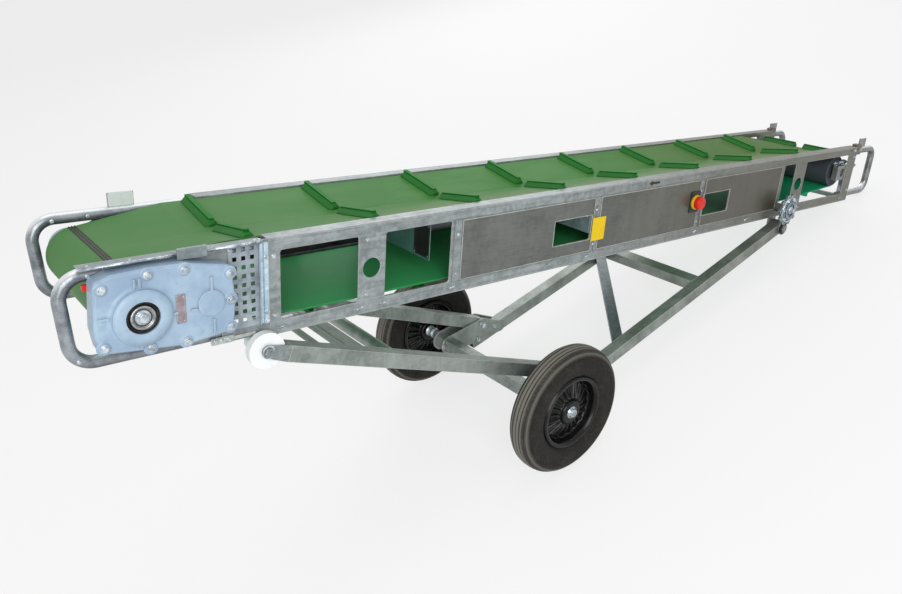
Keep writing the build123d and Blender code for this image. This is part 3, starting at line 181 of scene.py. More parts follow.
@dataclass
class Graph:
    """The nodes of one material or of the world."""

    tree: bpy.types.NodeTree

    def __post_init__(self) -> None:
        """Start without nodes."""
        self.tree.nodes.clear()

    def node(self, kind: str, sockets: dict, **settings: object) -> bpy.types.Node:
        """Add any node.

        Args:
            kind: the node's type.
            sockets: a Value, another node's socket or a constant for each input, by name or number.
            settings: the node's own settings, set before its sockets.

        Returns:
            The node.
        """
        node = self.tree.nodes.new(kind)
        for key, setting in settings.items():
            setattr(node, key, setting)
        for key, given in sockets.items():
            given = given.socket if isinstance(given, Value) else given
            if isinstance(given, Socket):
                self.tree.links.new(given, node.inputs[key])
            else:
                node.inputs[key].default_value = given
        return node

    def value(self, kind: str, sockets: dict, outlet: int | str = 0, **settings: object) -> Value:
        """Add a node and take one of its outputs as a value."""
        return Value(self, self.node(kind, sockets, **settings).outputs[outlet])

    def place(self) -> Socket:
        """The place of a surface point in metres."""
        return self.node("ShaderNodeTexCoord", {}).outputs["Object"]

    def place_from(self, centre: Place, tilt: float = 0.0) -> Socket:
        """The place of a surface point in metres from a centre in the world, in axes tilted about Y."""
        sockets = {"Vector": self.place(), "Location": centre, "Rotation": (0.0, tilt, 0.0)}
        return self.node("ShaderNodeMapping", sockets, vector_type="TEXTURE").outputs[0]

    def belt_place(self) -> Socket:
        """The place of a surface point in metres in the belt's own axes."""
        return self.place_from(tuple(step * MM for step in BELT_AXES.shift), BELT_AXES.tilt)

    def parts(self, place: Socket) -> tuple[Value, Value, Value]:
        """The three numbers of a place."""
        node = self.node("ShaderNodeSeparateXYZ", {0: place})
        return tuple(Value(self, outlet) for outlet in node.outputs)

    def noise(self, place: Socket, scale: float, detail: float, rough: float) -> Value:
        """Soft noise from zero to one, with features of about one part in scale of a metre."""
        sockets = {"Vector": place, "Scale": scale, "Detail": detail, "Roughness": rough}
        return self.value("ShaderNodeTexNoise", sockets)

    def grain(self, place: Socket, scales: Place, detail: float, rough: float) -> Value:
        """Noise with a scale of its own along each axis, so that it gets a grain."""
        stretched = self.node("ShaderNodeVectorMath", {0: place, 1: scales}, operation="MULTIPLY")
        return self.noise(stretched.outputs[0], 1.0, detail, rough)

    def cells(self, place: Socket, scale: float) -> Value:
        """One random number for each cell of a crystal pattern."""
        node = self.node("ShaderNodeTexVoronoi", {"Vector": place, "Scale": scale}, feature="F1")
        return self.parts(node.outputs["Color"])[0]

    def mix(self, share: Number, first: Socket | Card, second: Socket | Card) -> Socket:
        """Mix two colours.

        Args:
            share: the second colour's share.
            first: a socket, or a colour as on a card.
            second: the same for the other colour.

        Returns:
            The mixed colour.
        """
        first, second = (linear(side) if isinstance(side, tuple) else side for side in (first, second))
        sockets = {0: share, 6: first, 7: second}
        return self.node("ShaderNodeMix", sockets, data_type="RGBA", clamp_factor=True).outputs[2]

    def layered(self, base: Socket, *layers: tuple[Number, Socket | Card]) -> Socket:
        """Lay colours over a base in turn.

        Args:
            base: the colour underneath.
            layers: the share and the colour of each layer.

        Returns:
            The colour on top.
        """
        for share, colour in layers:
            base = self.mix(share, base, colour)
        return base

    def rounded_edges(self, radius: float) -> Socket:
        """A normal that turns over the sharp edges, as on a rolled or cast piece."""
        return self.node("ShaderNodeBevel", {"Radius": radius}, samples=4).outputs[0]

    def true_normal(self) -> Socket:
        """The surface's own normal."""
        return self.node("ShaderNodeNewGeometry", {}).outputs["Normal"]

    def edge_wear(self, radius: float) -> Value:
        """Find the sharp edges by how far the rounded normal leans from the true one; the finishes paint
        highlights there, with some wear.

        Args:
            radius: how far the mask reaches from an edge, in metres.

        Returns:
            One on the sharp edges and zero on flat ground.
        """
        normals = {0: self.true_normal(), 1: self.rounded_edges(radius)}
        lean = self.value("ShaderNodeVectorMath", normals, "Value", operation="DOT_PRODUCT")
        return (1.0 - lean).between(0.012, 0.16)

    def corners(self, reach: float) -> Value:
        """Find the inner corners, where painted shade goes.

        Args:
            reach: how far the painted shade reaches from a corner, in metres.

        Returns:
            One deep in the corners and zero on open ground.
        """
        sockets = {"Distance": reach}
        open_share = self.value("ShaderNodeAmbientOcclusion", sockets, "AO", samples=6, only_local=True)
        return (1.0 - open_share).between(0.15, 0.75)

    def rise(self) -> Value:
        """How far the surface faces up: one on top, zero on a wall, minus one underneath."""
        return self.parts(self.true_normal())[2]

    def bump(self, height: Value, depth: float, strength: float, edge: float = 0.0) -> Socket:
        """A bumped normal.

        Args:
            height: how high the surface stands, as a share of the depth.
            depth: the bump's depth in metres.
            strength: how much of it shows.
            edge: the radius of the rounded edges under the bump, or zero for none.

        Returns:
            The normal.
        """
        sockets = {"Height": height, "Distance": depth, "Strength": strength}
        if edge:
            sockets["Normal"] = self.rounded_edges(edge)
        return self.node("ShaderNodeBump", sockets).outputs[0]

    def shader(self, **sockets: object) -> Socket:
        """The Principled shader; an underscore in the name of an input stands for a space."""
        named = {name.replace("_", " "): given for name, given in sockets.items()}
        return self.node("ShaderNodeBsdfPrincipled", named).outputs[0]

    def eye_rays(self) -> Value:
        """Tell the rays of the camera, and those that gloss or glass passes on, from the room's light.

        Returns:
            One for those rays and zero for the room's light.
        """
        ways = self.node("ShaderNodeLightPath", {}).outputs
        kinds = ("Camera", "Glossy", "Transmission")
        camera, gloss, glass = (Value(self, ways[f"Is {kind} Ray"]) for kind in kinds)
        return camera.most(gloss).most(glass)


@dataclass(frozen=True)
class Finish:
    """One finish of the machine. Its material is made once and then shared. Colours are as on a card."""

    name: str

    def material(self) -> bpy.types.Material:
        """Make the finish's material on its first use.

        Returns:
            The material, the same one at every use.
        """
        made = bpy.data.materials.get(self.name)
        if made is None:
            made = bpy.data.materials.new(self.name)
            made.use_nodes = True
            graph = Graph(made.node_tree)
            graph.node("ShaderNodeOutputMaterial", {"Surface": self.paint(graph)})
        return made

    def paint(self, graph: Graph) -> Socket:
        """Build the finish's nodes and give the shader's outlet."""
        raise NotImplementedError


@dataclass(frozen=True)
class ZincSteel(Finish):
    """Zinc coated or brushed steel: grain, crystal spangle, cloudy tone, stains, and painted light:
    highlights with some wear on the edges, highlights on tops, shade underneath and a warm cast towards the
    tail.
    """

    dark: Card = (96, 101, 101)
    light: Card = (140, 147, 147)
    warm: Card = (108, 99, 82)
    bright: Card = (214, 218, 214)
    dirt: Card = (38, 40, 40)
    grain: Place = (12.0, 300.0, 300.0)
    grain_share: float = 0.3
    cloud_scale: float = 9.0
    spangle: float = 0.08
    stain: float = 0.3
    metallic: float = 0.42
    roughness: float = 0.34
    edge: float = 0.002
    # The next four set painted light: a highlight with some wear on the sharp edges, shade on the undersides,
    # a highlight on the tops, and a warm light cast towards the tail.
    edge_share: float = 0.7
    grime: float = 0.35
    gleam: float = 0.0
    film: float = 0.3

    def paint(self, graph: Graph) -> Socket:
        """Grain, clouds and crystals share the tone; stains are rougher, and a painted highlight with some
        rubbed wear brightens the edges.

        A painted warm light cast grows towards the tail, painted shade darkens the undersides, and a painted
        highlight lightens the tops.

        Args:
            graph: the material's nodes.

        Returns:
            The shader's outlet.
        """
        place = graph.belt_place()
        grain = graph.grain(place, self.grain, 4.0, 0.7)
        cloud = graph.noise(place, self.cloud_scale, 5.0, 0.6)
        spots = graph.noise(place, 70.0, 3.0, 0.6)
        drip = graph.grain(place, (30.0, 30.0, 3.0), 4.0, 0.6)
        crystals = graph.cells(place, 85.0) - 0.5
        tone = (
            grain * self.grain_share + cloud * (0.8 - self.grain_share)
            + spots * 0.2 + crystals * self.spangle
        )
        stain = (cloud * 0.4 + drip * 0.4 + spots * 0.2).between(0.5, 0.68)
        along = graph.parts(place)[0]
        rise = graph.rise()
        # A painted highlight along the sharp edges, partly standing for rubbed wear.
        edge_highlight_and_wear = graph.edge_wear(self.edge) * (0.55 + spots * 0.9)
        base = graph.layered(
            graph.mix(tone.between(0.34, 0.66), self.dark, self.light),
            (stain * self.stain, self.warm),
            # Painted light: a warm light cast towards the tail, painted shade on the undersides, a painted
            # highlight on the tops, and a painted highlight with some wear on the sharp edges.
            ((along - 0.7).between(0.0, 1.5) * self.film, self.warm),
            ((0.05 - rise).between(0.0, 0.9) * self.grime, self.dirt),
            ((rise - 0.35).between(0.0, 0.6) * self.gleam, self.bright),
            (edge_highlight_and_wear * self.edge_share, self.bright),
        )
        rough = self.roughness + stain * 0.12 + grain * 0.1
        normal = graph.bump(grain + spots * 0.5, 0.0001, 0.5, self.edge)
        return graph.shader(Base_Color=base, Metallic=self.metallic, Roughness=rough, Normal=normal)


@dataclass(frozen=True)
class BeltRubber(Finish):
    """Smooth belt cover in green, greyed by dust towards the drive end, with darker cleats and a return run
    brightened by painted light.
    """

    fresh: Card = (48, 116, 38)
    worn: Card = (68, 128, 58)
    head: Card = (90, 134, 84)
    tail: Card = (84, 108, 54)
    # Painted light on the return run: it is brightened, and a painted teal highlight grows towards the tail.
    under: Card = (70, 194, 116)
    under_tail: Card = (24, 190, 136)
    cleat: Card = (16, 94, 26)
    cleat_top: Card = (44, 134, 48)
    dust: Card = (126, 134, 100)

    def paint(self, graph: Graph) -> Socket:
        """The tone runs along the belt; what stands above the trough is cleat, and the low run is the return,
        brightened as painted light.

        Args:
            graph: the material's nodes.

        Returns:
            The shader's outlet.
        """
        place = graph.belt_place()
        along, across, up = graph.parts(place)
        cloud = graph.grain(place, (3.0, 9.0, 6.0), 5.0, 0.6)
        rub = graph.grain(place, (7.0, 60.0, 60.0), 4.0, 0.65)
        specks = graph.noise(place, 150.0, 2.0, 0.5)
        weave = (along * 2600.0).sine() * (across * 2600.0).sine()
        # The return run's colour is painted light: brightened, with a painted teal highlight towards the
        # tail.
        under = graph.mix((along - 1.7).between(0.0, 0.5), self.under, self.under_tail)
        dusty = (rub * 0.6 + specks * 0.4).between(0.5, 0.72)
        near_edge = (across * -1.0 - 0.03).between(0.0, 0.14) * (along - 0.1).between(0.0, 0.5)
        carrying = (up - 0.12).between(0.0, 0.02)
        trough = (1.0 - (along - 2.4).between(0.0, 0.185)) * abs(across) * (0.029 / 0.17)
        above = up - trough - 0.192
        stands = above.between(0.0015, 0.003).most((0.0225 - up).between(0.0, 0.001))
        base = graph.layered(
            graph.mix(cloud.between(0.34, 0.66), self.fresh, self.worn),
            ((0.7 - along).between(0.0, 0.95) * 0.75, self.head),
            ((along - 1.1).between(0.0, 1.2) * 0.7, self.tail),
            ((0.1 - up).between(0.0, 0.02) * 0.85, under),
            ((dusty * 0.3 + near_edge * (0.35 + cloud * 0.4)).least(0.8) * carrying, self.dust),
            (dusty * 0.25 * (1.0 - carrying), self.dust),
            (stands, graph.mix(above.between(0.015, 0.0175) * 0.55, self.cleat, self.cleat_top)),
        )
        normal = graph.bump(weave * 0.3 + specks, 0.00015, 0.4, 0.002)
        rough = 0.52 + dusty * 0.2
        return graph.shader(Base_Color=base, Roughness=rough, Normal=normal, Specular_IOR_Level=0.12)


@dataclass(frozen=True)
class CastPaint(Finish):
    """Satin paint over a sand casting: orange peel, dust, painted shade underneath and in the corners, and a
    painted highlight with some wear on the edges.
    """

    body: Card = (162, 186, 206)
    shade: Card = (140, 164, 188)
    dirt: Card = (104, 118, 130)
    rubbed: Card = (206, 220, 232)

    def paint(self, graph: Graph) -> Socket:
        """The casting's pitted skin shows through the paint as a bump, dirt lies in patches, and painted
        shade darkens its corners and undersides.

        Args:
            graph: the material's nodes.

        Returns:
            The shader's outlet.
        """
        place = graph.belt_place()
        skin = graph.noise(place, 260.0, 3.0, 0.6)
        cloud = graph.noise(place, 12.0, 4.0, 0.6)
        patches = graph.noise(place, 55.0, 4.0, 0.6)
        dirt = (patches * 0.6 + cloud * 0.4).between(0.54, 0.72)
        base = graph.layered(
            graph.mix(cloud.between(0.35, 0.66), self.shade, self.body),
            (dirt * 0.35, self.dirt),
            # Painted shade on the undersides and in the corners, and a painted highlight with some wear on
            # the edges.
            ((0.1 - graph.rise()).between(0.0, 0.9) * 0.3, self.dirt),
            (graph.corners(0.016) * (0.45 + patches * 0.5), self.dirt),
            (graph.edge_wear(0.003) * (0.3 + patches * 0.7), self.rubbed),
        )
        normal = graph.bump(skin + patches * 0.8, 0.0005, 0.35, 0.003)
        return graph.shader(Base_Color=base, Roughness=0.34 + dirt * 0.25, Normal=normal)


@dataclass(frozen=True)
class Moulded(Finish):
    """Moulded plastic, nylon or rubber with a fine skin and light scuffs."""

    body: Card = (40, 42, 42)
    scuff: Card = (84, 84, 80)
    scuff_share: float = 0.3
    roughness: float = 0.4

    def paint(self, graph: Graph) -> Socket:
        """A fine skin bumps the surface; scuffs are lighter and rougher, and the sharp edges take some of the
        scuff colour too, a painted highlight.

        Args:
            graph: the material's nodes.

        Returns:
            The shader's outlet.
        """
        place = graph.belt_place()
        skin = graph.noise(place, 420.0, 2.0, 0.5)
        rub = graph.noise(place, 34.0, 5.0, 0.65)
        scuffs = rub.between(0.52, 0.72) * self.scuff_share
        # The sharp edges take a share of the scuff colour as a painted highlight.
        base = graph.mix(scuffs.most(graph.edge_wear(0.0015) * 0.35), self.body, self.scuff)
        normal = graph.bump(skin + rub * 0.4, 0.0002, 0.5, 0.001)
        rough = self.roughness + scuffs * 0.4
        return graph.shader(Base_Color=base, Roughness=rough, Normal=normal, Specular_IOR_Level=0.25)


@dataclass(frozen=True)
class RimPlastic(Finish):
    """Glossy black rim plastic with dust in its pockets and a painted highlight on the fin edges."""

    body: Card = (10, 10, 11)
    dust: Card = (46, 45, 43)
    rubbed: Card = (150, 154, 158)

    def paint(self, graph: Graph) -> Socket:
        """Dust lies in soft patches, and a painted highlight lies on the fin edges.

        Args:
            graph: the material's nodes.

        Returns:
            The shader's outlet.
        """
        patches = graph.noise(graph.belt_place(), 48.0, 5.0, 0.65)
        base = graph.mix(patches.between(0.5, 0.74) * 0.3, self.body, self.dust)
        # A painted highlight on the sharp fin edges.
        base = graph.mix(graph.edge_wear(0.0012) * patches, base, self.rubbed)
        normal = graph.bump(patches, 0.0003, 0.3)
        rough = 0.16 + patches * 0.2
        return graph.shader(Base_Color=base, Roughness=rough, Normal=normal, Specular_IOR_Level=0.25)


@dataclass(frozen=True)
class TyreRubber(Finish):
    """Tyre rubber: a greyer, scuffed tread and darker sides that gather dust between their rings."""

    centre: Place = (0.0, 0.0, 0.0)
    tread: Card = (118, 115, 108)
    groove: Card = (22, 21, 20)
    wall: Card = (28, 27, 25)
    dust: Card = (120, 114, 104)

    def paint(self, graph: Graph) -> Socket:
        """The radius from the axle parts the tread, its grooves and the sides.

        Args:
            graph: the material's nodes.

        Returns:
            The shader's outlet.
        """
        place = graph.place_from(self.centre)
        x, across, z = graph.parts(place)
        radius = (x * x + z * z) ** 0.5
        specks = graph.noise(place, 240.0, 3.0, 0.6)
        cloud = graph.noise(place, 22.0, 4.0, 0.6)
        crumbs = graph.noise(place, 420.0, 2.0, 0.5).between(0.62, 0.72)
        worn = radius.between(0.176, 0.193)
        inside = (0.1985 - radius).between(0.0, 0.003) * (0.034 - abs(across)).between(0.0, 0.002)
        dusty = (cloud * 0.5 + specks * 0.5).between(0.47, 0.66)
        base = graph.layered(
            graph.mix(worn, self.wall, self.tread),
            (inside * radius.between(0.186, 0.19) * 0.8, self.groove),
            (dusty * (0.16 + worn * 0.22), self.dust),
            (crumbs * 0.3, self.dust),
        )
        normal = graph.bump(specks + cloud * 0.4, 0.0005, 0.5)
        rough = 0.6 + dusty * 0.2
        return graph.shader(Base_Color=base, Roughness=rough, Normal=normal, Specular_IOR_Level=0.15)


@dataclass(frozen=True)
class FloorPaint(Finish):
    """Pale floor that stays white to the eye and keeps the shadow."""

    body: Card = (240, 240, 240)
    cloudy: Card = (236, 236, 236)
    glow: float = 0.72

    def paint(self, graph: Graph) -> Socket:
        """Rays that the eye, gloss or glass sends get a share of plain white light.

        Args:
            graph: the material's nodes.

        Returns:
            The outlet of the shader that mixes paint and light.
        """
        base = graph.mix(graph.noise(graph.place(), 1.6, 3.0, 0.5), self.cloudy, self.body)
        paint = graph.shader(Base_Color=base, Roughness=0.8, Specular_IOR_Level=0.1)
        light = graph.node("ShaderNodeEmission", {"Color": WHITE, "Strength": 1.0}).outputs[0]
        share = graph.eye_rays() * self.glow
        return graph.node("ShaderNodeMixShader", {0: share, 1: paint, 2: light}).outputs[0]


# Several of these finishes paint light: a highlight with some wear on sharp edges, shade on undersides, a
# highlight on tops, and a warm light cast towards the tail.
SHEET = ZincSteel("zinc_sheet_skin", (112, 118, 120), (156, 164, 164))
RAIL = ZincSteel(
    "rail_skin", (112, 119, 121), (162, 171, 172), (92, 86, 70),
    grain=(5.0, 90.0, 90.0), grain_share=0.4, cloud_scale=10.0, edge=0.003, film=0.7,
)
PANEL = ZincSteel(
    "brushed_panel_skin", (82, 85, 83), (114, 118, 114), (80, 74, 60),
    grain=(9.0, 500.0, 500.0), grain_share=0.25, cloud_scale=7.0, spangle=0.0, roughness=0.3, film=0.8,
)
TUBE = ZincSteel(
    "zinc_tube_skin", (108, 116, 112), (158, 166, 162),
    grain_share=0.12, cloud_scale=10.0, spangle=0.04, edge=0.0035, grime=0.6,
)
# The grip loops get strong painted shade underneath and a strong painted highlight on their tops.
LOOP = ZincSteel(
    "grip_tube_skin", (104, 110, 116), (160, 166, 172), bright=(240, 244, 246), grain_share=0.1,
    cloud_scale=18.0, stain=0.15, spangle=0.04, metallic=0.6, roughness=0.22, grime=0.7, gleam=0.75,
)
BRACE = ZincSteel("brace_skin", (70, 84, 94), (108, 122, 130), cloud_scale=14.0, edge=0.0035, grime=0.6)
BRIGHT = ZincSteel(
    "bright_zinc_skin", (118, 130, 140), (216, 226, 232), (140, 138, 126), (246, 248, 250),
    cloud_scale=60.0, grain_share=0.1, stain=0.2, metallic=0.6, roughness=0.2, edge=0.0014, film=0.0,
)
# The winch casting gets a strong painted highlight on its edges.
WINCH = ZincSteel(
    "winch_casting_skin", (76, 92, 102), (134, 150, 158), bright=(244, 248, 250),
    cloud_scale=50.0, edge=0.0025, edge_share=0.95, film=0.0, roughness=0.24,
)
HEM = ZincSteel("cut_edge_skin", (140, 145, 143), (196, 200, 196), cloud_scale=30.0, stain=0.15, film=0.45)
CROSS_SHEET = ZincSteel(
    "cross_sheet_skin", (120, 146, 150), (168, 190, 194),
    cloud_scale=14.0, stain=0.2, film=0.0,
)
COVER = ZincSteel("cover_strip_skin", (110, 122, 126), (150, 160, 164), cloud_scale=24.0)
GUARD = ZincSteel(
    "guard_skin", (118, 128, 138), (164, 176, 184),
    cloud_scale=20.0, grain_share=0.1, edge=0.0008,
)
FOLD = ZincSteel(
    "folded_strip_skin", (150, 176, 192), (206, 226, 236),
    cloud_scale=24.0, stain=0.1, edge=0.001,
)
BRONZED = ZincSteel("bronzed_steel_skin", (74, 66, 54), (112, 102, 84), cloud_scale=30.0, edge=0.001)
MACHINED = ZincSteel(
    "turned_steel_skin", (96, 98, 98), (188, 190, 190),
    roughness=0.2, metallic=0.7, edge=0.0012,
)
DRUM = ZincSteel(
    "drum_skin", (50, 62, 82), (74, 90, 112), stain=0.15, metallic=0.2, edge_share=0.3, spangle=0.0
)
DARK_SHEET = ZincSteel(
    "shaded_sheet_skin", (98, 108, 112), (140, 150, 154),
    cloud_scale=7.0, stain=0.35, film=0.0,
)
NAMEPLATE = ZincSteel("nameplate_skin", (128, 118, 124), (168, 154, 160), (132, 108, 104), cloud_scale=60.0)
BELT = BeltRubber("belt_cover")
CASTING = CastPaint("blue_grey_paint")
DARK_PAINT = CastPaint("dark_green_paint", (84, 128, 118), (66, 110, 100), (70, 90, 84), (150, 176, 170))
BLACK = Moulded("black_moulding")
BLACK_STEEL = Moulded("blackened_steel", (20, 21, 22), (90, 92, 92), roughness=0.3)
CLEAT_RUBBER = Moulded("cleat_foot_rubber", (26, 104, 32), (48, 122, 50), roughness=0.5)
LACE = Moulded("lace_bronze", (46, 56, 38), (104, 108, 78), 0.6)
NYLON = Moulded("white_nylon_skin", (236, 240, 240), (212, 216, 214), 0.4)
# A pale finish that stands in for the far lug's highlight, a painted highlight.
LUG_HIGHLIGHT = Moulded("lug_highlight_skin", (214, 220, 220), (180, 188, 188), 0.5)
YELLOW = Moulded("yellow_moulding", (206, 172, 28), (170, 140, 40))
YELLOW_LABEL = Moulded("yellow_foil", (232, 196, 20), (206, 168, 30), roughness=0.5)
BLACK_LABEL = Moulded("black_foil", (18, 20, 20), (96, 102, 102), roughness=0.5)
RED = Moulded("red_moulding", (216, 42, 28), (176, 60, 48), roughness=0.25)
RIM = RimPlastic("rim_plastic")
FLOOR = FloorPaint("studio_floor")

NODE_FINISHES = {
    BELT: "belt",
    RAIL: "bottom_rail_near bottom_rail_far top_rail_near top_rail_far side_web_near side_web_far",
    DARK_PAINT: "bulkhead",
    PANEL: "cover_panels_near cover_panels_far",
    DARK_SHEET: "slider_bed cross_members",
    SHEET: "head_plates lift_pivots roller_forks take_ups",
    COVER: "cover_strip",
    GUARD: "drive_guard",
    BLACK_STEEL: "drive_motor",
    CASTING: "gearbox head_bearing",
    DRUM: "head_drum tail_drum",
    LOOP: "head_handles tail_handles",
    RED: "stop_button",
    BLACK: "stop_plate",
    WINCH: "winch_gear",
    TUBE: "knee_plates axle_beam lift_arm_near lift_arm_far lift_cross_bar roller_arm_near roller_arm_far "
    "roller_cross_bars roller_cross_tube",
    BRACE: "lift_brace",
    NYLON: "rail_roller_near rail_roller_far",
}


def facing(direction: Place) -> np.ndarray:
    """The turn that takes a shape that is drawn upwards to a direction.

    Args:
        direction: where the shape's top goes.

    Returns:
        Three columns: a side, the cross product of direction and side, and the direction.
    """
    up = np.array(direction, float)
    up /= np.linalg.norm(up)
    helper = np.array([1.0, 0.0, 0.0]) if abs(up[0]) < 0.9 else np.array([0.0, 0.0, 1.0])
    side = helper - up * (helper @ up)
    side /= np.linalg.norm(side)
    return np.stack([side, np.cross(up, side), up], -1)


@dataclass
class Shape:
    """A mesh in the making: its corners in rows of three and its faces in rows of four corner numbers."""

    points: np.ndarray
    faces: np.ndarray
    smooth: bool = True

    @classmethod
    def of_grid(
        cls, grid: np.ndarray, round_rows: bool = False, round_columns: bool = True, smooth: bool = True
    ) -> "Shape":
        """Join a grid of points: each one has a face with its neighbours to the right, across and below.

        Args:
            grid: the points, as rows of columns of three numbers.
            round_rows: whether the last row joins the first.
            round_columns: whether the last point of a row joins its first.
            smooth: whether the faces are shaded smoothly.

        Returns:
            The surface.
        """
        rows, columns = grid.shape[:2]
        row = np.arange(rows - 1 + round_rows)[:, None]
        column = np.arange(columns - 1 + round_columns)[None, :]
        right, below = (column + 1) % columns, (row + 1) % rows
        here, under = row * columns, below * columns
        corners = [here + column, here + right, under + right, under + column]
        return cls(grid.reshape(-1, 3), np.stack(corners, -1).reshape(-1, 4), smooth)

    def moved(self, by: Place) -> "Shape":
        """The shape at another place."""
        return Shape(self.points + np.array(by), self.faces, self.smooth)

    def turned(self, matrix: np.ndarray) -> "Shape":
        """The shape turned by a matrix; one that mirrors also turns the faces round."""
        faces = self.faces if np.linalg.det(matrix) > 0 else self.faces[:, ::-1]
        return Shape(self.points @ matrix.T, faces, self.smooth)

    def toward(self, axis: Axis = Axis.TO_NEAR) -> "Shape":
        """The shape, drawn upwards, with its top pointing along an axis."""
        return self.turned(facing(axis.value))

    def mirrored(self) -> "Shape":
        """The same shape on the other side of the belt."""
        return self.turned(np.diag([1.0, -1.0, 1.0]))

    def both_sides(self) -> "Shape":
        """The shape on the near and on the far side."""
        return joined([self, self.mirrored()])

    def at(self, places: list[Place]) -> "Shape":
        """The shape repeated at many places.

        Args:
            places: where each copy goes.

        Returns:
            One shape: every corner plus every place, and every face with the corners of its own copy.
        """
        spots = np.asarray(places, float).reshape(-1, 3)
        points = (self.points[None, :, :] + spots[:, None, :]).reshape(-1, 3)
        steps = np.arange(len(spots)) * len(self.points)
        faces = (self.faces[None, :, :] + steps[:, None, None]).reshape(-1, self.faces.shape[1])
        return Shape(points, faces, self.smooth)

    def in_world(self) -> "Shape":
        """The shape brought from the belt's own axes in mm to the world in metres."""
        return Shape(BELT_AXES.place(self.points), self.faces, self.smooth)

    def made(self, name: str, finish: Finish) -> bpy.types.Object:
        """Put the shape in the scene.

        Args:
            name: the object's name.
            finish: its finish.

        Returns:
            The object, at the origin with its place in its mesh.
        """
        mesh = bpy.data.meshes.new(name)
        mesh.from_pydata(self.points.tolist(), [], self.faces.tolist())
        mesh.polygons.foreach_set("use_smooth", np.full(len(mesh.polygons), self.smooth))
        mesh.validate()
        mesh.materials.append(finish.material())
        made = bpy.data.objects.new(name, mesh)
        bpy.context.scene.collection.objects.link(made)
        return made

    def piece(
        self, name: str, finish: Finish = BRIGHT, slot: str = "zinc_plated", body: str = "conveyor"
    ) -> bpy.types.Object:
        """Make the shape a piece of the machine.

        Args:
            name: the piece's name.
            finish: its finish.
            slot: the record's material slot; not used.
            body: the body that it rides on.

        Returns:
            The object.
        """
        made = self.made(name, finish)
        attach(made, body)
        return made


def joined(shapes: list[Shape]) -> Shape:
    """Put shapes together as one.

    Args:
        shapes: the shapes, each with faces of as many corners.

    Returns:
        One shape with the first one's shading.
    """
    starts = np.cumsum([0] + [len(shape.points) for shape in shapes[:-1]])
    points = np.concatenate([shape.points for shape in shapes])
    faces = np.concatenate([shape.faces + start for shape, start in zip(shapes, starts)])
    return Shape(points, faces, shapes[0].smooth)


def circle(radius: float, steps: int) -> np.ndarray:
    """The points of a circle, anticlockwise: the radius times (cos a, sin a) for even angles a."""
    angle = np.linspace(0.0, TURN, steps, endpoint=False)
    return radius * np.stack([np.cos(angle), np.sin(angle)], -1)


def turned_profile(profile: list[tuple[float, float]], steps: int, closed: bool = False) -> Shape:
    """Turn a profile about the axis through its heights.

    The point at profile step p and angle a is (r(p) cos a, r(p) sin a, h(p)).

    Args:
        profile: radius and height in rows of two, from the foot outwards and up; it may end at radius zero.
        steps: how many angles there are.
        closed: whether the profile's last point joins its first.

    Returns:
        The turned surface, with its outside outwards when the profile runs up on the outside.
    """
    profile = np.asarray(profile, float)
    across = profile[:, None, :1] * circle(1.0, steps)
    height = np.broadcast_to(profile[:, None, 1:], (len(profile), steps, 1))
    return Shape.of_grid(np.concatenate([across, height], -1), round_rows=closed)


def stacked(rings: list[tuple[np.ndarray, float]], closed: bool = False) -> Shape:
    """Join outlines at their heights into a surface with hard edges.

    Args:
        rings: each outline in rows of two, with its height.
        closed: whether the last ring joins the first.

    Returns:
        The surface.
    """
    grid = np.stack([np.column_stack([ring, np.full(len(ring), height)]) for ring, height in rings])
    return Shape.of_grid(grid, round_rows=closed, smooth=False)


def rounded_outline(half_x: float, half_y: float, corner: float, steps: int = 4) -> np.ndarray:
    """The outline of a rectangle with rounded corners.

    Each quarter turn of the angle a gives one corner: its centre plus the corner radius times (cos a, sin a).

    Args:
        half_x: half the width.
        half_y: half the height.
        corner: the corner radius.
        steps: how many steps each corner has.

    Returns:
        The outline's points in rows of two, anticlockwise.
    """
    quarters = np.arange(4)[:, None] * pi / 2.0
    angle = (quarters + np.linspace(0.0, pi / 2.0, steps + 1)[None, :]).ravel()
    signs = np.repeat(np.array([[1, 1], [-1, 1], [-1, -1], [1, -1]], float), steps + 1, axis=0)
    turns = np.stack([np.cos(angle), np.sin(angle)], -1)
    return signs * (np.array([half_x, half_y]) - corner) + corner * turns


def carried(
    section: np.ndarray,
    path: list[Place],
    sizes: np.ndarray | None = None,
    helper: Place = (0.0, 1.0, 0.0),
    smooth: bool = True,
) -> Shape:
    """Carry a closed section along a path and close its ends.

    At each step of the path the section stands square to it: a point (n, b) of the section goes to the
    path's point plus n times the normal plus b times the side. The normal leans as near to the helper as
    it can.

    Args:
        section: points of the section in rows of two, anticlockwise as seen from the path's end.
        path: points of the path in rows of three.
        sizes: how much the section grows at each step of the path.
        helper: the direction that the section's first number leans to.
        smooth: whether the faces are shaded smoothly.

    Returns:
        The closed surface.
    """
    path = np.asarray(path, float)
    sizes = np.ones(len(path)) if sizes is None else sizes
    way = np.gradient(path, axis=0)
    way /= np.linalg.norm(way, axis=1)[:, None]
    normal = np.array(helper) - way * (way @ np.array(helper))[:, None]
    normal /= np.linalg.norm(normal, axis=1)[:, None]
    side = np.cross(way, normal)
    order = np.concatenate([[0], np.arange(len(path)), [len(path) - 1]])
    sizes = np.concatenate([[0.001], sizes, [0.001]])[:, None, None]
    spread = section[None, :, :1] * normal[order][:, None, :] + section[None, :, 1:] * side[order][:, None, :]
    return Shape.of_grid(path[order][:, None, :] + sizes * spread, smooth=smooth)


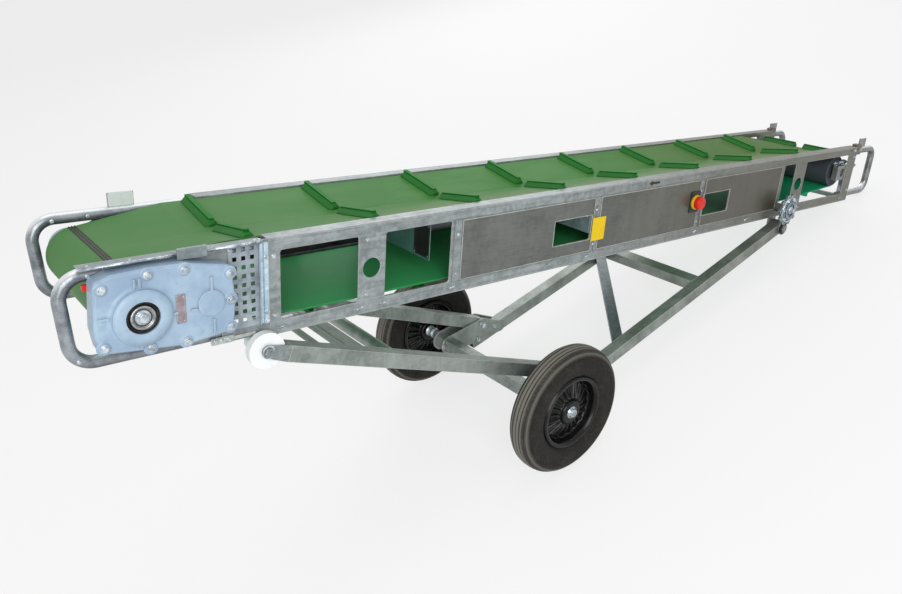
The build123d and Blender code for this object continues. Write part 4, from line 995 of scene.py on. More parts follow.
def weld_bead(start: Place, end: Place, radius: float) -> Shape:
    """A weld bead: a round section carried along a line, swelling and shrinking as a sine along it.

    Args:
        start: where the bead starts.
        end: where it ends.
        radius: its middle radius.

    Returns:
        The bead, thinner at both ends.
    """
    start, end = np.array(start, float), np.array(end, float)
    steps = max(8, int(np.linalg.norm(end - start) / 1.6))
    share = np.linspace(0.0, 1.0, steps)
    swell = 1.0 + 0.16 * np.sin(share * steps * 1.5) + 0.1 * np.sin(share * 37.0 + start[0])
    swell = swell * np.clip(np.minimum(share, 1.0 - share) * 12.0, 0.35, 1.0)
    return carried(circle(radius, 10), start + (end - start) * share[:, None], swell)


@dataclass
class Fitting:
    """A small form that is drawn upwards, in mm, from the face that it is fixed to."""

    def shape(self) -> Shape:
        """The form."""
        raise NotImplementedError

    def fixed(self, places: list[Place], axis: Axis = Axis.TO_NEAR) -> Shape:
        """The form in the world, at places of the belt's own axes, with its top pointing along an axis."""
        return self.shape().toward(axis).at(places).in_world()


@dataclass
class Slab(Fitting):
    """A flat plate with rounded corners and a softened rim; a hem of some width leaves its middle open."""

    half_x: float
    half_y: float
    corner: float = 2.0
    thick: float = 1.5
    soft: float = 0.4
    hem: float = 0.0

    def shape(self) -> Shape:
        """Build the plate as rings, from its middle out along the foot, up, and back to the middle.

        Returns:
            The plate, with an open middle where it has a hem.
        """
        outline = rounded_outline(self.half_x, self.half_y, self.corner)
        sizes = np.array([self.half_x, self.half_y])
        shares = ((0.0, 0.0), (0.0, self.thick - self.soft), (self.soft, self.thick))
        rings = [(outline * (1.0 - inset / sizes), height) for inset, height in shares]
        inner = outline * (1.0 - self.hem / sizes) if self.hem else outline * 0.001
        return stacked([(inner, 0.0), *rings, (inner, self.thick)], self.hem > 0.0)


@dataclass
class Screw(Fitting):
    """A hexagon head on its washer or flange."""

    across: float = 13.0
    height: float = 5.5
    washer: float = 9.0
    washer_height: float = 1.6
    steps: int = 24

    def shape(self) -> Shape:
        """Build the head as rings.

        The hexagon's edge lies at half its width across flats, over the cosine of the angle from the nearest
        flat. The top's edge is cut round: it is the smaller of the hexagon and a circle inside its corners.

        Returns:
            The head on its washer.
        """
        angle = np.linspace(0.0, TURN, self.steps, endpoint=False)
        hexagon = self.across / 2.0 / np.cos((angle + pi / 6.0) % (pi / 3.0) - pi / 6.0)
        low, top = self.washer_height, self.washer_height + self.height
        rings = (
            (self.washer, 0.0),
            (self.washer, low * 0.7),
            (self.washer * 0.94, low),
            (hexagon, low + 0.01),
            (hexagon, low + self.height * 0.88),
            (np.minimum(hexagon, self.across * 0.525) * 0.97, top),
            (0.001, top),
        )
        even = circle(1.0, self.steps)
        spread = [(np.broadcast_to(radius, self.steps)[:, None] * even, height) for radius, height in rings]
        return stacked(spread)


SMALL_SCREW = Screw(7.0, 3.0, 4.6, 0.8, 18)
THIN_SCREW = Screw(8.0, 3.5, 5.6, 1.0, 18)


@dataclass
class Rivet(Fitting):
    """A domed rivet head."""

    radius: float = 4.0
    height: float = 1.8
    steps: int = 16

    def shape(self) -> Shape:
        """Build the dome: its height falls as the square root of one less the radius squared.

        Returns:
            The dome on its foot.
        """
        lean = np.linspace(0.0, pi / 2.0, 6)
        profile = np.stack([self.radius * np.cos(lean) + 0.001, self.height * np.sin(lean)], -1)
        return turned_profile(profile, self.steps)


@dataclass
class Wheel:
    """One pneumatic wheel: a grooved tyre on a black finned rim, in mm from its own axle."""

    side: Side
    radius: float = 200.0
    width: float = 82.0
    middle: float = 153.0
    power: float = 0.74
    hub_radius: float = 38.0
    fin_end: float = 94.0
    half_rim: float = 36.0
    fins: int = 20
    grooves: tuple[float, ...] = (-25.0, -12.5, 0.0, 12.5, 25.0)
    groove_width: float = 2.6
    groove_depth: float = 4.5

    def tyre(self) -> Shape:
        """Build the tyre as a ring-shaped surface of angle and section step.

        The section is a squared oval: its radius is the middle's plus the half height times the cosine to a
        power below one, and its width the half width times the sine to that power, from bead to bead. Each
        groove takes a bell-shaped dent out of the tread, and a bell-shaped ridge in radius makes each ring.

        Returns:
            The tyre about an axle along Y.
        """
        turn = np.linspace(-0.845 * pi, 0.845 * pi, 181)
        reach = np.sign(np.cos(turn)) * np.abs(np.cos(turn)) ** self.power
        radius = self.middle + (self.radius - self.middle) * reach
        across = (self.width / 2.0 - 1.0) * np.sign(np.sin(turn)) * np.abs(np.sin(turn)) ** self.power
        tread = np.clip((radius - 186.0) / 8.0, 0.0, 1.0)
        dents = sum(np.exp(-(((across - groove) / self.groove_width) ** 4)) for groove in self.grooves)
        radius = radius - self.groove_depth * tread * dents
        wall = (1.0 - tread) * np.clip((radius - 112.0) / 8.0, 0.0, 1.0)
        rings = sum(np.exp(-(((radius - ring) / 1.6) ** 2)) for ring in (124.0, 130.0, 168.0, 181.0))
        across = across + np.sign(across) * 0.9 * wall * rings
        return turned_profile(np.stack([radius, across], -1), 120).toward(Axis.TO_FAR)

    def rim_face(self) -> Shape:
        """Build one face of the rim as a grid of angle and radius.

        The dish runs from the hub to the lip along a half cosine. Twenty fins stand on it: their height is a
        cut-off ramp of the cosine of twenty times the angle, faded out at hub and lip.

        Returns:
            The face, drawn upwards.
        """
        angle = np.linspace(0.0, TURN, self.fins * 16, endpoint=False)[None, :]
        inner = [8.0, 12.0, 24.0, 27.0, 29.0, 34.0, 36.0, self.hub_radius, 46.0, 60.0, 74.0, 84.0, 88.0, 91.0]
        outer = [self.fin_end, 97.0, 99.0, 103.0, 107.0, 110.0, 112.0, 112.0]
        radius = np.array(inner + outer)[:, None]
        share = np.clip((radius - self.hub_radius) / (self.fin_end - self.hub_radius), 0.0, 1.0)
        dish = self.half_rim - 27.0 + 7.0 * np.cos(share * pi)
        hub = np.clip((self.hub_radius - radius) / 4.0, 0.0, 1.0)
        lip = np.clip((radius - self.fin_end) / 9.0, 0.0, 1.0)
        lip = lip * lip * (3.0 - 2.0 * lip)
        height = dish * (1.0 - hub) + (self.half_rim - 6.0) * hub
        height = height * (1.0 - lip) + self.half_rim * lip
        fin = np.clip((np.cos(angle * self.fins) - 0.15) / 0.3, 0.0, 1.0)
        inside = np.clip((radius - self.hub_radius) / 6.0, 0.0, 1.0)
        outside = np.clip((self.fin_end - radius) / 5.0, 0.0, 1.0)
        height = height + 9.0 * fin * (inside * outside)
        height[-1] = 0.0
        return Shape.of_grid(np.stack([radius * np.cos(angle), radius * np.sin(angle), height], -1)[::-1])

    def hub_cap(self) -> Shape:
        """The bright cap over the axle's end, a low dome in front of a washer."""
        steps = ((19.0, -7.0), (19.0, -4.5), (13.0, -4.4), (13.0, 2.0), (11.0, 4.4), (6.0, 4.9), (0.01, 4.9))
        return turned_profile([(radius, self.half_rim + height) for radius, height in steps], 40)

    def build(self) -> None:
        """Make the tyre, the rim and its caps, and put them in place of the plain ones."""
        word = self.side.word
        body = f"wheel_{word}"
        low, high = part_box(f"tyre_{self.side.word}")
        centre = (np.array(low) + np.array(high)) / 2.0

        def on_axle(shape: Shape) -> Shape:
            """Bring a shape from the axle in mm to the world in metres."""
            return Shape(shape.points * MM + centre, shape.faces, shape.smooth)

        def on_both_faces(shape: Shape) -> Shape:
            """Set a shape on both faces of the wheel."""
            return on_axle(joined([shape.toward(axis) for axis in (Axis.TO_NEAR, Axis.TO_FAR)]))

        rubber = TyreRubber(f"tyre_rubber_{word}", tuple(float(number) for number in centre))
        tyre = on_axle(self.tyre()).piece(f"ribbed_tyre_{word}", rubber, "tyre_rubber", body)
        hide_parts(f"tyre_{word}")
        rim = on_both_faces(self.rim_face()).piece(f"finned_rim_{word}", RIM, "black_plastic", body)
        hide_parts(f"wheel_rim_{word}")
        on_both_faces(self.hub_cap()).piece(f"hub_caps_{word}", body=body)


@dataclass
class DriveEnd:
    """The drive end's fittings, on its gearbox, guard, cover strip, grip loops and far bearing."""

    shaft_x: float = -288.0
    shaft_z: float = 124.0
    wall: float = 211.0
    face: float = 251.0
    pad_height: float = 4.0
    ring_height: float = 12.0
    recess: float = 19.0
    loop_face: float = 208.0
    pads: tuple[tuple[float, float], ...] = (
        (-70.0, 67.0), (16.0, 82.0), (88.0, 80.0), (180.0, 57.0), (181.0, 0.0), (178.0, -61.0),
        (85.0, -72.0), (13.0, -69.0), (-74.0, -50.0),
    )

    def around_shaft(self, profile: list[tuple[float, float]], depth: float, closed: bool = False) -> Shape:
        """Turn a profile about the drum's shaft, with its foot at a depth behind the housing's face."""
        turned = turned_profile(profile, 64, closed).toward()
        return turned.moved((self.shaft_x, -self.face + depth, self.shaft_z)).in_world()

    def housing(self) -> None:
        """Hexagon bolts with flanges on the pads, and the cast coves at the feet of ring and pads."""
        spots = [(self.shaft_x + x, self.shaft_z + z) for x, z in self.pads]
        tops = [(x, -self.face - self.pad_height, z) for x, z in spots]
        Screw(11.0, 4.5, 8.2, 1.4).fixed(tops).piece("gearbox_bolts")
        lean = np.linspace(0.0, pi / 2.0, 7)
        cove = turned_profile(np.stack([15.0 - 5.0 * np.sin(lean), 3.6 * (1.0 - np.cos(lean))], -1), 32)
        feet = cove.toward().at([(x, -self.face, z) for x, z in spots]).in_world()
        ring = np.stack([65.0 - 8.0 * np.sin(lean), 8.0 * (1.0 - np.cos(lean))], -1)
        lip = [(57.0, -1.5), (56.0, 0.6), (36.0, 0.6), (33.2, -0.6)]
        profile = [*map(tuple, ring), *((radius, self.ring_height + height) for radius, height in lip)]
        joined([feet, self.around_shaft(profile, 0.0)]).piece("casting_coves", CASTING, "blue_grey_casting")

    def small_plates(self) -> None:
        """The pale pad on the far loop's lug as a painted highlight, the scraper's red end, and a dark strip
        on the far side as a painted shadow.
        """
        # A pale pad over the far lug as a painted highlight.
        highlight_pad = Slab(29.0, 16.0, 4.0, 2.0).fixed([(-174.0, 191.9, 235.5)])
        highlight_pad.piece("lug_highlight_pad", LUG_HIGHLIGHT, "white_nylon")
        scraper = Slab(20.0, 6.0, 2.0, 8.0, 1.0).fixed([(-359.0, -203.0, 184.0)])
        scraper.piece("scraper_end", RED, "red_button")
        # A dark strip on the far side as a painted shadow.
        shadow_strip = Slab(240.0, 17.0).fixed([(266.0, 207.9, 40.0)])
        shadow_strip.piece("far_shadow_strip", BLACK_STEEL, "black_plastic")

    def bore(self) -> None:
        """The dark seal, the hollow shaft's collar and the bolt with its washer inside the ring."""
        depth = self.recess - self.ring_height
        seal = [(24.0, 0.0), (32.7, 0.0), (32.7, 14.0), (30.0, 16.0), (27.0, 15.0), (24.0, 12.0)]
        self.around_shaft(seal, depth, True).piece("shaft_seal", BLACK_STEEL, "machined_steel")
        collar = [(17.7, 0.0), (23.4, 0.0), (23.4, 15.4), (22.4, 16.2), (18.6, 16.2), (17.7, 15.2)]
        clip = [(19.4, 16.2), (24.6, 16.2), (24.6, 17.6), (19.4, 17.6)]
        rings = joined([self.around_shaft(profile, depth, True) for profile in (collar, clip)])
        rings.piece("hollow_shaft_collar", MACHINED, "machined_steel")
        place = (self.shaft_x, -self.face - self.ring_height + 6.2, self.shaft_z)
        Screw(17.0, 7.0, 15.5, 3.0).fixed([place]).piece("shaft_bolt", slot="machined_steel")

    def nameplate(self) -> None:
        """A blank plate with four rivets between the two bosses."""
        x, z = self.shaft_x + 77.0, self.shaft_z - 1.0
        top = -self.face - 1.2
        plate = Slab(10.0, 31.0, 1.5, 1.2, 0.3).fixed([(x, -self.face, z)])
        rim = Slab(8.6, 29.0, 1.2, 0.4, 0.1, hem=0.8).fixed([(x, top, z)])
        joined([plate, rim]).piece("blank_nameplate", NAMEPLATE, "brushed_sheet")
        rivets = [(x + dx, top, z + dz) for dx in (-6.0, 6.0) for dz in (-26.0, 26.0)]
        Rivet(1.8, 1.0, 12).fixed(rivets).piece("nameplate_rivets")

    def guard(self) -> None:
        """The folded strip beside the perforated sheet, and its bolts."""
        fold = [
            (0.0, -22.0), (2.0, -22.0), (2.0, -15.5), (8.0, -14.0),
            (8.0, -5.0), (2.0, -3.5), (2.0, -1.0), (0.0, -1.0),
        ]
        face = -self.wall - 2.0
        path = [(-1.5, face, 36.0), (-1.5, face, 221.0)]
        strip = carried(np.array(fold)[::-1], path, helper=Axis.TO_NEAR.value, smooth=False)
        strip.in_world().piece("guard_strip", FOLD)
        bolts = [(-11.0, face - 8.0, z) for z in (190.0, 64.0, 44.0)]
        bolts += [(-88.0, face, z) for z in (212.0, 44.0)]
        THIN_SCREW.fixed(bolts).piece("guard_bolts")

    def cover_edge(self) -> None:
        """The rolled outer edge of the cover strip, in two lengths, with the strip's top bolts."""
        lengths = ((-386.0, -206.0), (-142.0, -22.0))
        rolls = [carried(circle(3.2, 12), [(x, -226.2, 226.4) for x in ends]) for ends in lengths]
        joined(rolls).in_world().piece("cover_rolled_edge")
        tops = [(x, -215.0, 228.0) for x in (-369.0, -290.0, -206.0, -126.0, -34.0)]
        Rivet(4.2, 2.6).fixed(tops, Axis.UP).piece("cover_top_bolts")

    def loops(self) -> None:
        """The bolts through the grip loops and the clamp plates that hold their lower runs."""
        near = [(-366.0, -self.loop_face, 206.0), (-398.0, -self.loop_face, 36.0)]
        far = [(-330.0, 181.0, 204.0), (-346.0, 181.0, 36.0), (-253.0, 181.0, 206.0)]
        SMALL_SCREW.fixed(near + far).piece("loop_bolts")
        clamp = Slab(26.0, 8.0, 3.0, 3.0).fixed([(-112.0, -self.loop_face - 3.0, 16.0)])
        tail = Slab(26.0, 4.0, 1.5, 2.0).fixed([(-62.0, -self.loop_face - 3.0, 16.0)])
        joined([clamp, tail]).piece("loop_clamp_plate", HEM)
        screws = [(x, -self.loop_face - 6.0, 16.0) for x in (-128.0, -113.0, -98.0)]
        Screw(7.0, 3.4, 5.0, 1.0, 18).fixed(screws).piece("loop_clamp_bolts")

    def far_bearing(self) -> None:
        """The far bearing's four bolts and the ring round its shaft."""
        turns = ((cos(angle), sin(angle)) for angle in (0.8, 2.35, 3.9, 5.5))
        places = [(self.shaft_x + 30.0 * along, 236.9, self.shaft_z + 30.0 * up) for along, up in turns]
        Screw(10.0, 5.0, 7.5, 1.2, 18).fixed(places, Axis.TO_FAR).piece("bearing_bolts")
        collar = turned_profile([(17.7, 0.0), (23.0, 0.0), (23.0, 2.4), (21.5, 3.4), (17.7, 3.4)], 40, True)
        ring = collar.toward(Axis.TO_FAR).moved((self.shaft_x, 237.0, self.shaft_z))
        ring.in_world().piece("bearing_collar", MACHINED, "machined_steel")

    def build(self) -> None:
        """Make the drive end's fittings."""
        self.housing()
        self.small_plates()
        self.bore()
        self.nameplate()
        self.guard()
        self.cover_edge()
        self.loops()
        self.far_bearing()


@dataclass
class BeltFittings:
    """What is fixed to the belt: the feet of its cleats and the lacing that joins its ends."""

    first_row: float = -33.0
    last_row: float = 2585.0
    rows: int = 9
    cleat: float = 13.0
    inner: float = 16.0
    outer: float = 166.0
    half_belt: float = 170.0
    middle: float = 192.0
    rise: float = 29.0
    flat: float = 190.3
    trough_end: float = 2400.0
    drum: tuple[float, float] = (-288.0, 124.0)
    lace_radius: float = 66.4
    hook_pitch: float = 12.0

    def top(self, x: float, y: float) -> float:
        """Find the level of the carrying run: a V that flattens evenly after the trough's end.

        Args:
            x: the place along the belt.
            y: the place across it.

        Returns:
            The level above the frame's underside.
        """
        past = max(0.0, x - self.trough_end) / (self.last_row - self.trough_end)
        bottom = self.middle + (self.flat - self.middle) * past
        return bottom + self.rise * (1.0 - past) * abs(y) / self.half_belt

    def feet(self) -> None:
        """A flared foot along each cleat, carried along it with slanting ends."""
        section = np.array([(0.2, -17.0), (2.4, -17.0), (13.5, -7.4), (13.5, 7.4), (2.4, 17.0), (0.2, 17.0)])
        shares = np.array([0.0, 0.03, 0.97, 1.0])[:, None]
        sizes = np.array([0.5, 1.0, 1.0, 0.5])
        feet = []
        for x in np.linspace(self.first_row, self.last_row, self.rows):
            for side in Side:
                reach = (self.inner, self.outer)
                ends = ((x + self.cleat / 2.0, side.value * y, self.top(x, y)) for y in reach)
                start, end = map(np.array, ends)
                path = start + (end - start) * shares
                feet.append(carried(section, path, sizes, Axis.UP.value, smooth=False))
        joined(feet).in_world().piece("cleat_feet", CLEAT_RUBBER, "green_belt")

    def lacing(self) -> None:
        """The hook lacing over the head drum: an arc of angle and width that ripples with the hooks.

        The radius is the lacing's own plus a squared sine of the angle, which gives three ridges over the
        arc, times a cosine across the belt. The arc's first and last rows lie a millimetre lower.
        """
        turn = np.linspace(radians(86.0), radians(103.0), 25)[:, None]
        across = np.linspace(-168.0, 168.0, 337)[None, :]
        share = (turn - turn[0]) / (turn[-1] - turn[0])
        ridges = np.sin(share * 3.0 * pi) ** 2
        hooks = 0.6 + 0.4 * np.cos(across * TURN / self.hook_pitch)
        radius = self.lace_radius + 2.4 * ridges * hooks - (np.abs(share - 0.5) > 0.49)
        x, z = self.drum[0] + radius * np.cos(turn), self.drum[1] + radius * np.sin(turn)
        arc = Shape.of_grid(np.stack([x, across + 0.0 * x, z], -1), round_columns=False)
        arc.in_world().piece("belt_lacing", LACE, "green_belt")

    def build(self) -> None:
        """Make the belt's fittings."""
        self.feet()
        self.lacing()


@dataclass
class SidePanels:
    """One side's cover panels: hems, riveted strips, tabs and rivets on their outer faces."""

    side: Side
    face: float = 212.5
    wall: float = 211.0
    panel: tuple[float, float] = (32.0, 195.5)
    opening: tuple[float, float] = (70.0, 144.0)
    hems: tuple[tuple[float, float], ...] = ((541.0, 1049.0), (1075.0, 1574.0), (1603.0, 2086.0))
    strips: tuple[tuple[float, float], ...] = ((517.0, 539.0), (1064.0, 1073.0), (1577.0, 1587.0))
    openings: tuple[tuple[float, float], ...] = ((884.0, 1040.0), (1600.0, 1756.0))
    posts: tuple[float, ...] = (528.0, 1058.0, 1584.0)

    def laid(self, fitting: Fitting, places: list[Place]) -> Shape:
        """A fitting on this side, at places that are given on the near side."""
        shape = fitting.shape().toward().at(places)
        return (shape.mirrored() if self.side is Side.FAR else shape).in_world()

    def bands(
        self, spans: tuple, level: tuple[float, float], more: float = 0.0, **form: float
    ) -> list[Shape]:
        """Lay one slab over each span.

        Args:
            spans: where each slab starts and ends along the belt.
            level: its low and high edge.
            more: how far it goes past them.
            form: the slab's other sizes.

        Returns:
            The slabs on the panels' outer face.
        """
        half, middle = (level[1] - level[0]) / 2.0 + more, sum(level) / 2.0
        bands = []
        for start, end in spans:
            slab = Slab((end - start) / 2.0 + more, half, **form)
            bands.append(self.laid(slab, [((start + end) / 2.0, -self.face, middle)]))
        return bands

    def build(self) -> None:
        """Bright hems, the frame's edge beside each panel, tabs, rivets down the posts, and screws."""
        word = self.side.word
        hems = self.bands(self.hems, self.panel, corner=3.0, thick=1.2, hem=2.2)
        hems += self.bands(self.openings, self.opening, 2.0, thick=1.4, hem=2.0)
        joined(hems).piece(f"panel_hems_{word}", HEM, "brushed_sheet")
        strips = self.bands(self.strips, self.panel, corner=1.5, thick=0.5, soft=0.2)
        joined(strips).piece(f"panel_strips_{word}", RAIL, "zinc_sheet")
        tabs = [(x, -self.face - 0.5, 184.0) for x in self.posts]
        self.laid(Slab(8.0, 12.0, 2.0, 1.0, 0.3), tabs).piece(f"panel_tabs_{word}", SHEET, "zinc_sheet")
        rivets = [(x, -self.face - 0.5, z) for x in self.posts for z in (158.0, 52.0)]
        self.laid(Rivet(4.4, 2.2), rivets).piece(f"panel_rivets_{word}")
        screws = [(x, -self.wall, z) for x in (12.0, 252.0, 2654.0) for z in (184.0, 46.0)]
        self.laid(Screw(8.0, 3.4, 5.6, 1.0, 16), screws).piece(f"frame_screws_{word}")


@dataclass
class Controls:
    """The blank labels, the direction arrow and the collar of the stop button."""

    black_x: float = 470.0
    black_y: float = -136.0
    label_z: float = 134.0

    def label(self, name: str, slab: Slab, place: Place, axis: Axis, finish: Finish, slot: str) -> None:
        """A blank foil label with a thin raised border.

        Args:
            name: the piece's name.
            slab: the label's plate.
            place: where its middle is fixed.
            axis: where its face points.
            finish: its finish.
            slot: the record's material slot.
        """
        border = Slab(slab.half_x - 3.0, slab.half_y - 3.0, slab.corner, 0.25, 0.1, hem=1.0)
        front = tuple(np.array(place) + np.array(axis.value) * slab.thick)
        joined([slab.fixed([place], axis), border.fixed([front], axis)]).piece(name, finish, slot)

    def arrow(self) -> None:
        """The running direction's arrow: an outline round a point inside its head, raised a little.

        The outline is star-shaped, so the top is the outline drawn in to that point.
        """
        below = [(-26.0, 0.0), (-9.0, -9.0), (-9.0, -3.5), (26.0, -3.5)]
        outline = np.array(below + [(x, -z) for x, z in below[:0:-1]])
        centre = np.array([-10.0, 0.0])
        shape = stacked([(outline, 0.0), (outline, 0.5), (centre + (outline - centre) * 0.001, 0.5)])
        placed = shape.toward().moved((1320.0, -211.0, 211.0)).in_world()
        placed.piece("direction_arrow", BLACK, "black_plastic")

    def stop(self) -> None:
        """The yellow collar behind the stop button's cap."""
        collar = turned_profile([(17.0, 0.0), (25.0, 0.0), (24.0, 8.0), (21.0, 9.0), (17.0, 9.0)], 40, True)
        placed = collar.toward().moved((1552.0, -215.5, 124.0)).in_world()
        placed.piece("stop_collar", YELLOW, "yellow_plate")

    def build(self) -> None:
        """Make the labels and controls."""
        yellow, black = Slab(29.0, 36.0, 4.0, 0.8, 0.3), Slab(45.0, 33.0, 2.0, 1.0, 0.3)
        place = (1074.0, -213.7, 98.0)
        self.label("blank_yellow_label", yellow, place, Axis.TO_NEAR, YELLOW_LABEL, "yellow_plate")
        place = (self.black_x, self.black_y, self.label_z)
        self.label("blank_black_label", black, place, Axis.TO_HEAD, BLACK_LABEL, "black_plastic")
        spots = [(dy, dz) for dy in (-28.0, 28.0) for dz in (-40.0, 40.0)]
        rivets = [(self.black_x - 1.0, self.black_y + dy, self.label_z + dz) for dy, dz in spots]
        Rivet(2.2, 1.2, 12).fixed(rivets, Axis.TO_HEAD).piece("label_rivets")
        self.arrow()
        self.stop()


@dataclass
class CrossPlate:
    """The upright plate behind the cover panels' first opening, with a raised rim, two beads and bolts."""

    x: float = 1046.0
    middle: float = 134.0
    half: float = 50.0
    half_y: float = 205.0
    thick: float = 2.0

    def build(self) -> None:
        """The plate facing the drive end, with its rim, beads and bolts."""

        def fixed(fitting: Fitting, x: float, *spots: float) -> Shape:
            """Fix a fitting at the plate's middle level, at some places across."""
            return fitting.fixed([(x, y, self.middle) for y in spots], Axis.TO_HEAD)

        front = self.x - self.thick
        plate = fixed(Slab(self.half, self.half_y, 3.0, self.thick), self.x, 0.0)
        rim = fixed(Slab(self.half - 1.0, self.half_y - 1.0, 3.0, 1.6, 0.5, hem=5.0), front, 0.0)
        beads = fixed(Slab(self.half - 22.0, 5.0, 4.5, 2.4, 1.6), front, -70.0, 70.0)
        joined([plate, rim, beads]).piece("cross_plate", CROSS_SHEET, "zinc_sheet")
        bolts = fixed(Screw(10.0, 4.5, 8.0, 1.4, 18), front, -186.0, -120.0, 120.0, 186.0)
        bolts.piece("cross_plate_bolts")


@dataclass
class TailEnd:
    """The tail end's fittings: drum rods, channels, clamp blocks on the rail ends, and bolts."""

    length: float = 2670.0
    wall: float = 211.0
    loop_z: float = 212.0
    rod_y: float = -197.0
    rod_z: float = 166.0
    rod_length: float = 100.0

    def clamp_blocks(self) -> None:
        """Rounded blocks that clamp the loops to the rail ends, with a bolt through each."""
        block = Slab(17.0, 21.0, 5.0, 26.0, 1.5).shape().toward()
        block = block.moved((self.length + 20.0, -183.0, self.loop_z))
        block.both_sides().in_world().piece("loop_clamp_blocks", BRONZED)
        places = [(self.length + 20.0, -209.0, self.loop_z), (self.length - 30.0, -self.wall, self.loop_z)]
        bolts = Screw(10.0, 5.0, 7.5, 1.4, 18).shape().toward().at(places)
        bolts.both_sides().in_world().piece("loop_clamp_block_bolts")

    def channels(self) -> None:
        """Bright upright channels inside the frame's end that guide the take-up blocks."""
        path = [(self.length - 24.0, -193.0, z) for z in (6.0, 90.0)]
        channel = carried(rounded_outline(11.0, 18.0, 3.0), path, smooth=False)
        channel.both_sides().in_world().piece("take_up_channels", slot="zinc_sheet")

    def rods(self) -> None:
        """The bright take-up rods in front of the drum, with a fine sine as their thread, and their nuts."""
        steps = np.linspace(0.0, 1.0, 90)
        thread = 1.0 + 0.04 * np.sin(steps * 90.0 * 2.1)
        start = np.array([self.length - 150.0, self.rod_y, self.rod_z])
        path = start + np.array([self.rod_length, 0.0, 0.0]) * steps[:, None]
        rod = carried(circle(5.0, 14), path, thread)
        nuts = Screw(17.0, 9.0, 11.0).shape().toward(Axis.TO_TAIL)
        nuts = nuts.at([(self.length - back, self.rod_y, self.rod_z) for back in (128.0, 72.0)])
        joined([rod, nuts]).both_sides().in_world().piece("take_up_rods")

    def build(self) -> None:
        """Make the tail end's fittings."""
        self.clamp_blocks()
        self.channels()
        self.rods()


@dataclass
class Winch:
    """The height winch's casting: its rim bead, studs and hub, and the pivots' rings on both sides."""

    x: float = 2110.0
    z: float = 38.0
    pivot_z: float = -37.0
    back: float = 250.0
    radius: float = 50.0
    studs: float = 38.5

    def build(self) -> None:
        """A round bead near the teeth, six studs inside it, a domed hub with its bolt, and the rings."""
        rim = turned_profile(circle(3.5, 12) + np.array([self.radius - 5.0, 10.0]), 48, True)
        hub = turned_profile([(15.0, 10.0), (15.0, 16.0), (13.0, 19.0), (9.0, 20.5), (0.01, 21.0)], 32)
        studs = Rivet(5.5, 6.0).shape().at([(x, y, 10.0) for x, y in circle(self.studs, 6)])
        casting = joined([rim, hub, studs]).toward().moved((self.x, -self.back, self.z))
        casting.in_world().piece("winch_casting")
        ring = turned_profile([(11.0, 0.0), (24.0, 0.0), (24.0, 3.0), (22.5, 4.5), (11.0, 4.5)], 40, True)
        near = ring.toward().moved((self.x, -self.back, self.pivot_z))
        near.both_sides().in_world().piece("pivot_rings", BLACK_STEEL, "black_plastic")
        Screw(15.0, 6.0, 10.0).fixed([(self.x, -self.back - 21.0, self.z)]).piece("winch_hub_bolt")


@dataclass
class Undercarriage:
    """The undercarriage's bolts, axle sleeves and roller washers."""

    knee: tuple[float, float] = (1018.0, -359.0)
    plate_spots: tuple[tuple[float, float], ...] = ((1004.0, -412.0), (849.0, -404.0), (1078.0, -376.0))
    plate_face: float = 249.0
    inner_face: float = 197.0

    def bolted(self, outer: Screw, inner: Screw, spots: list[tuple[float, float]]) -> Shape:
        """Bolts through both knees.

        Args:
            outer: the head on the outer face.
            inner: the nut on the inner face.
            spots: where they are, along the belt and up.

        Returns:
            The heads and nuts on both sides.
        """
        heads = outer.shape().toward().at([(x, -self.plate_face, z) for x, z in spots])
        nuts = inner.shape().toward(Axis.TO_FAR).at([(x, -self.inner_face, z) for x, z in spots])
        return joined([heads, nuts]).both_sides().in_world()

    def build(self) -> None:
        """The knees' bolts with wide washers, the plates' bolts, sleeves over the stub axles, and washers."""
        knees = self.bolted(Screw(17.0, 8.0, 14.0, 2.2), Screw(17.0, 9.0, 13.0, 2.0), [self.knee])
        knees.piece("knee_bolts", body="lift_frame")
        small = Screw(11.0, 5.0, 8.5)
        self.bolted(small, small, list(self.plate_spots)).piece("plate_bolts", body="lift_frame")
        neck = [(10.2, 0.0), (19.0, 0.0), (19.0, 4.0), (15.5, 5.0)]
        sleeve = turned_profile(neck + [(15.5, 27.0), (18.5, 28.0), (18.5, 33.0), (10.2, 33.0)], 40, True)
        placed = sleeve.toward().moved((875.0, -255.6, -392.0)).both_sides()
        placed.in_world().piece("axle_sleeves", body="lift_frame")
        washer = turned_profile([(8.2, 0.0), (16.0, 0.0), (16.0, 1.4), (15.2, 2.0), (8.2, 2.0)], 32, True)
        placed = washer.toward().moved((-20.0, -242.0, -23.8)).both_sides()
        placed.in_world().piece("roller_washers", body="roller_frame")


@dataclass
class Welds:
    """Weld beads where straps, posts and cross members meet the rails."""

    wall: float = 211.0
    spots: tuple[float, ...] = (
        30.0, 234.0, 300.0, 520.0, 872.0, 1040.0, 1584.0, 1900.0, 2196.0, 2268.0, 2606.0,
    )

    def build(self) -> None:
        """Short beads low on the side frames' outer faces, on both sides."""
        beads = [weld_bead((x - 9.0, -self.wall, 14.0), (x + 9.0, -self.wall, 18.0), 3.0) for x in self.spots]
        joined(beads).both_sides().in_world().piece("rail_welds", slot="zinc_sheet")


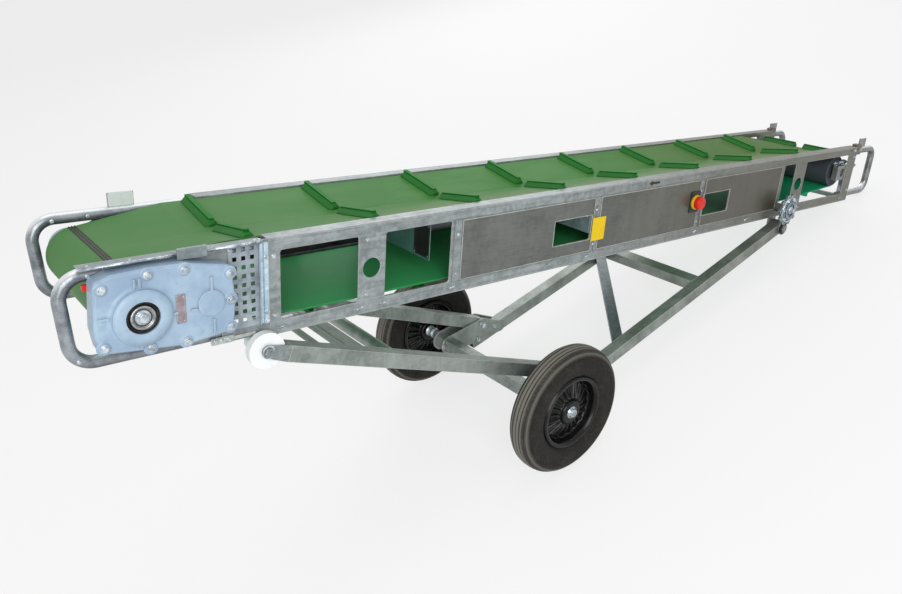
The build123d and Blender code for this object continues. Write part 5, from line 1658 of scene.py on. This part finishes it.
@dataclass
class Studio:
    """The pale floor, the soft lamps and the camera."""

    place: Place = (-740.0, -1694.0, 756.0)
    right: Place = (0.7767, -0.6269, 0.0619)
    forward: Place = (0.6017, 0.7093, -0.3672)
    lens: float = 31.82
    floor_half: float = 60.0
    floor_gap: float = 0.0005
    aim: Place = (0.0, 0.0, 0.7)
    room_light: float = 0.48

    def floor(self) -> None:
        """The floor is a flat grid of points under the wheels."""
        steps = np.linspace(-self.floor_half, self.floor_half, 9)
        low = min(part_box(f"tyre_{side.word}")[0].z for side in Side)
        grid = np.stack([*np.meshgrid(steps, steps), np.full((9, 9), low - self.floor_gap)], -1)
        floor = Shape.of_grid(grid, round_columns=False, smooth=False).made("floor", FLOOR)
        floor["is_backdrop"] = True

    def lamp(self, name: str, place: Place, size: float, power: float) -> None:
        """Add one square soft lamp that faces the machine's middle.

        Args:
            name: the lamp's name.
            place: where it hangs, in metres.
            size: the length of its side.
            power: its light in watts.
        """
        light = bpy.data.lights.new(name, "AREA")
        light.energy = power
        light.size = size
        self.posed(name, light, facing(np.array(place) - np.array(self.aim)), place)

    def posed(self, name: str, data: bpy.types.ID, turn: np.ndarray, place: Place) -> bpy.types.Object:
        """Put a lamp or a camera in the scene.

        Args:
            name: the object's name.
            data: the lamp or the camera.
            turn: its right, its up and its back as columns.
            place: where it stands, in metres.

        Returns:
            The object.
        """
        pose = np.eye(4)
        pose[:3, :3] = turn
        pose[:3, 3] = place
        holder = bpy.data.objects.new(name, data)
        bpy.context.scene.collection.objects.link(holder)
        holder.matrix_world = Matrix(pose.tolist())
        return holder

    def room(self) -> None:
        """The world is white to the eye and to gloss, and lights the machine less."""
        world = bpy.data.worlds.new("studio")
        bpy.context.scene.world = world
        world.use_nodes = True
        graph = Graph(world.node_tree)
        strength = graph.value("ShaderNodeMapRange", {"Value": graph.eye_rays(), "To Min": self.room_light})
        light = graph.node("ShaderNodeBackground", {"Color": WHITE, "Strength": strength}).outputs[0]
        graph.node("ShaderNodeOutputWorld", {"Surface": light})

    def camera(self) -> None:
        """The camera stands where the photograph was taken: off the drive end, on the near side."""
        turn = BELT_AXES.matrix()
        right = turn @ np.array(self.right)
        forward = turn @ np.array(self.forward)
        right /= np.linalg.norm(right)
        forward -= right * (forward @ right)
        forward /= np.linalg.norm(forward)
        data = bpy.data.cameras.new("camera")
        data.lens = self.lens
        data.sensor_width = 36.0
        data.clip_end = 200.0
        pose = np.stack([right, np.cross(right, forward), -forward], -1)
        bpy.context.scene.camera = self.posed("camera", data, pose, BELT_AXES.place(np.array(self.place)))

    def build(self) -> None:
        """Set the camera, the floor, the room and the lamps."""
        self.camera()
        self.floor()
        self.room()
        self.lamp("key_lamp", (-2.8, -4.2, 3.0), 3.5, 178.0)
        self.lamp("top_lamp", (0.5, 0.5, 5.5), 4.5, 50.0)
        self.lamp("back_lamp", (3.5, 4.0, 3.0), 3.5, 70.0)
        bpy.context.scene.view_settings.view_transform = "Standard"


@dataclass
class Finishes:
    """The finishes of the solids that stay as they are."""

    table: dict[Finish, str]

    def build(self) -> None:
        """Give every solid in the table its finish."""
        for finish, nodes in self.table.items():
            for node in nodes.split():
                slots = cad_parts[node].data.materials
                slots.clear()
                slots.append(finish.material())


def corners() -> list[list[float]]:
    """The lowest and highest corner of what is shown now, as plain lists."""
    return [[float(number) for number in corner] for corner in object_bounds()]


def main() -> None:
    """Build the scene piece by piece and report each one."""
    logging.basicConfig(level=logging.INFO, format="%(name)s: %(message)s")
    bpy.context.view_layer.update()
    builders = [Studio(), Finishes(NODE_FINISHES), *(Wheel(side) for side in Side), DriveEnd()]
    builders += [BeltFittings(), *(SidePanels(side) for side in Side), Controls(), CrossPlate()]
    builders += [TailEnd(), Winch(), Undercarriage(), Welds()]
    for builder in builders:
        builder.build()
        LOG.info("built %s", type(builder).__name__)


if __name__ == "__main__":
    main()
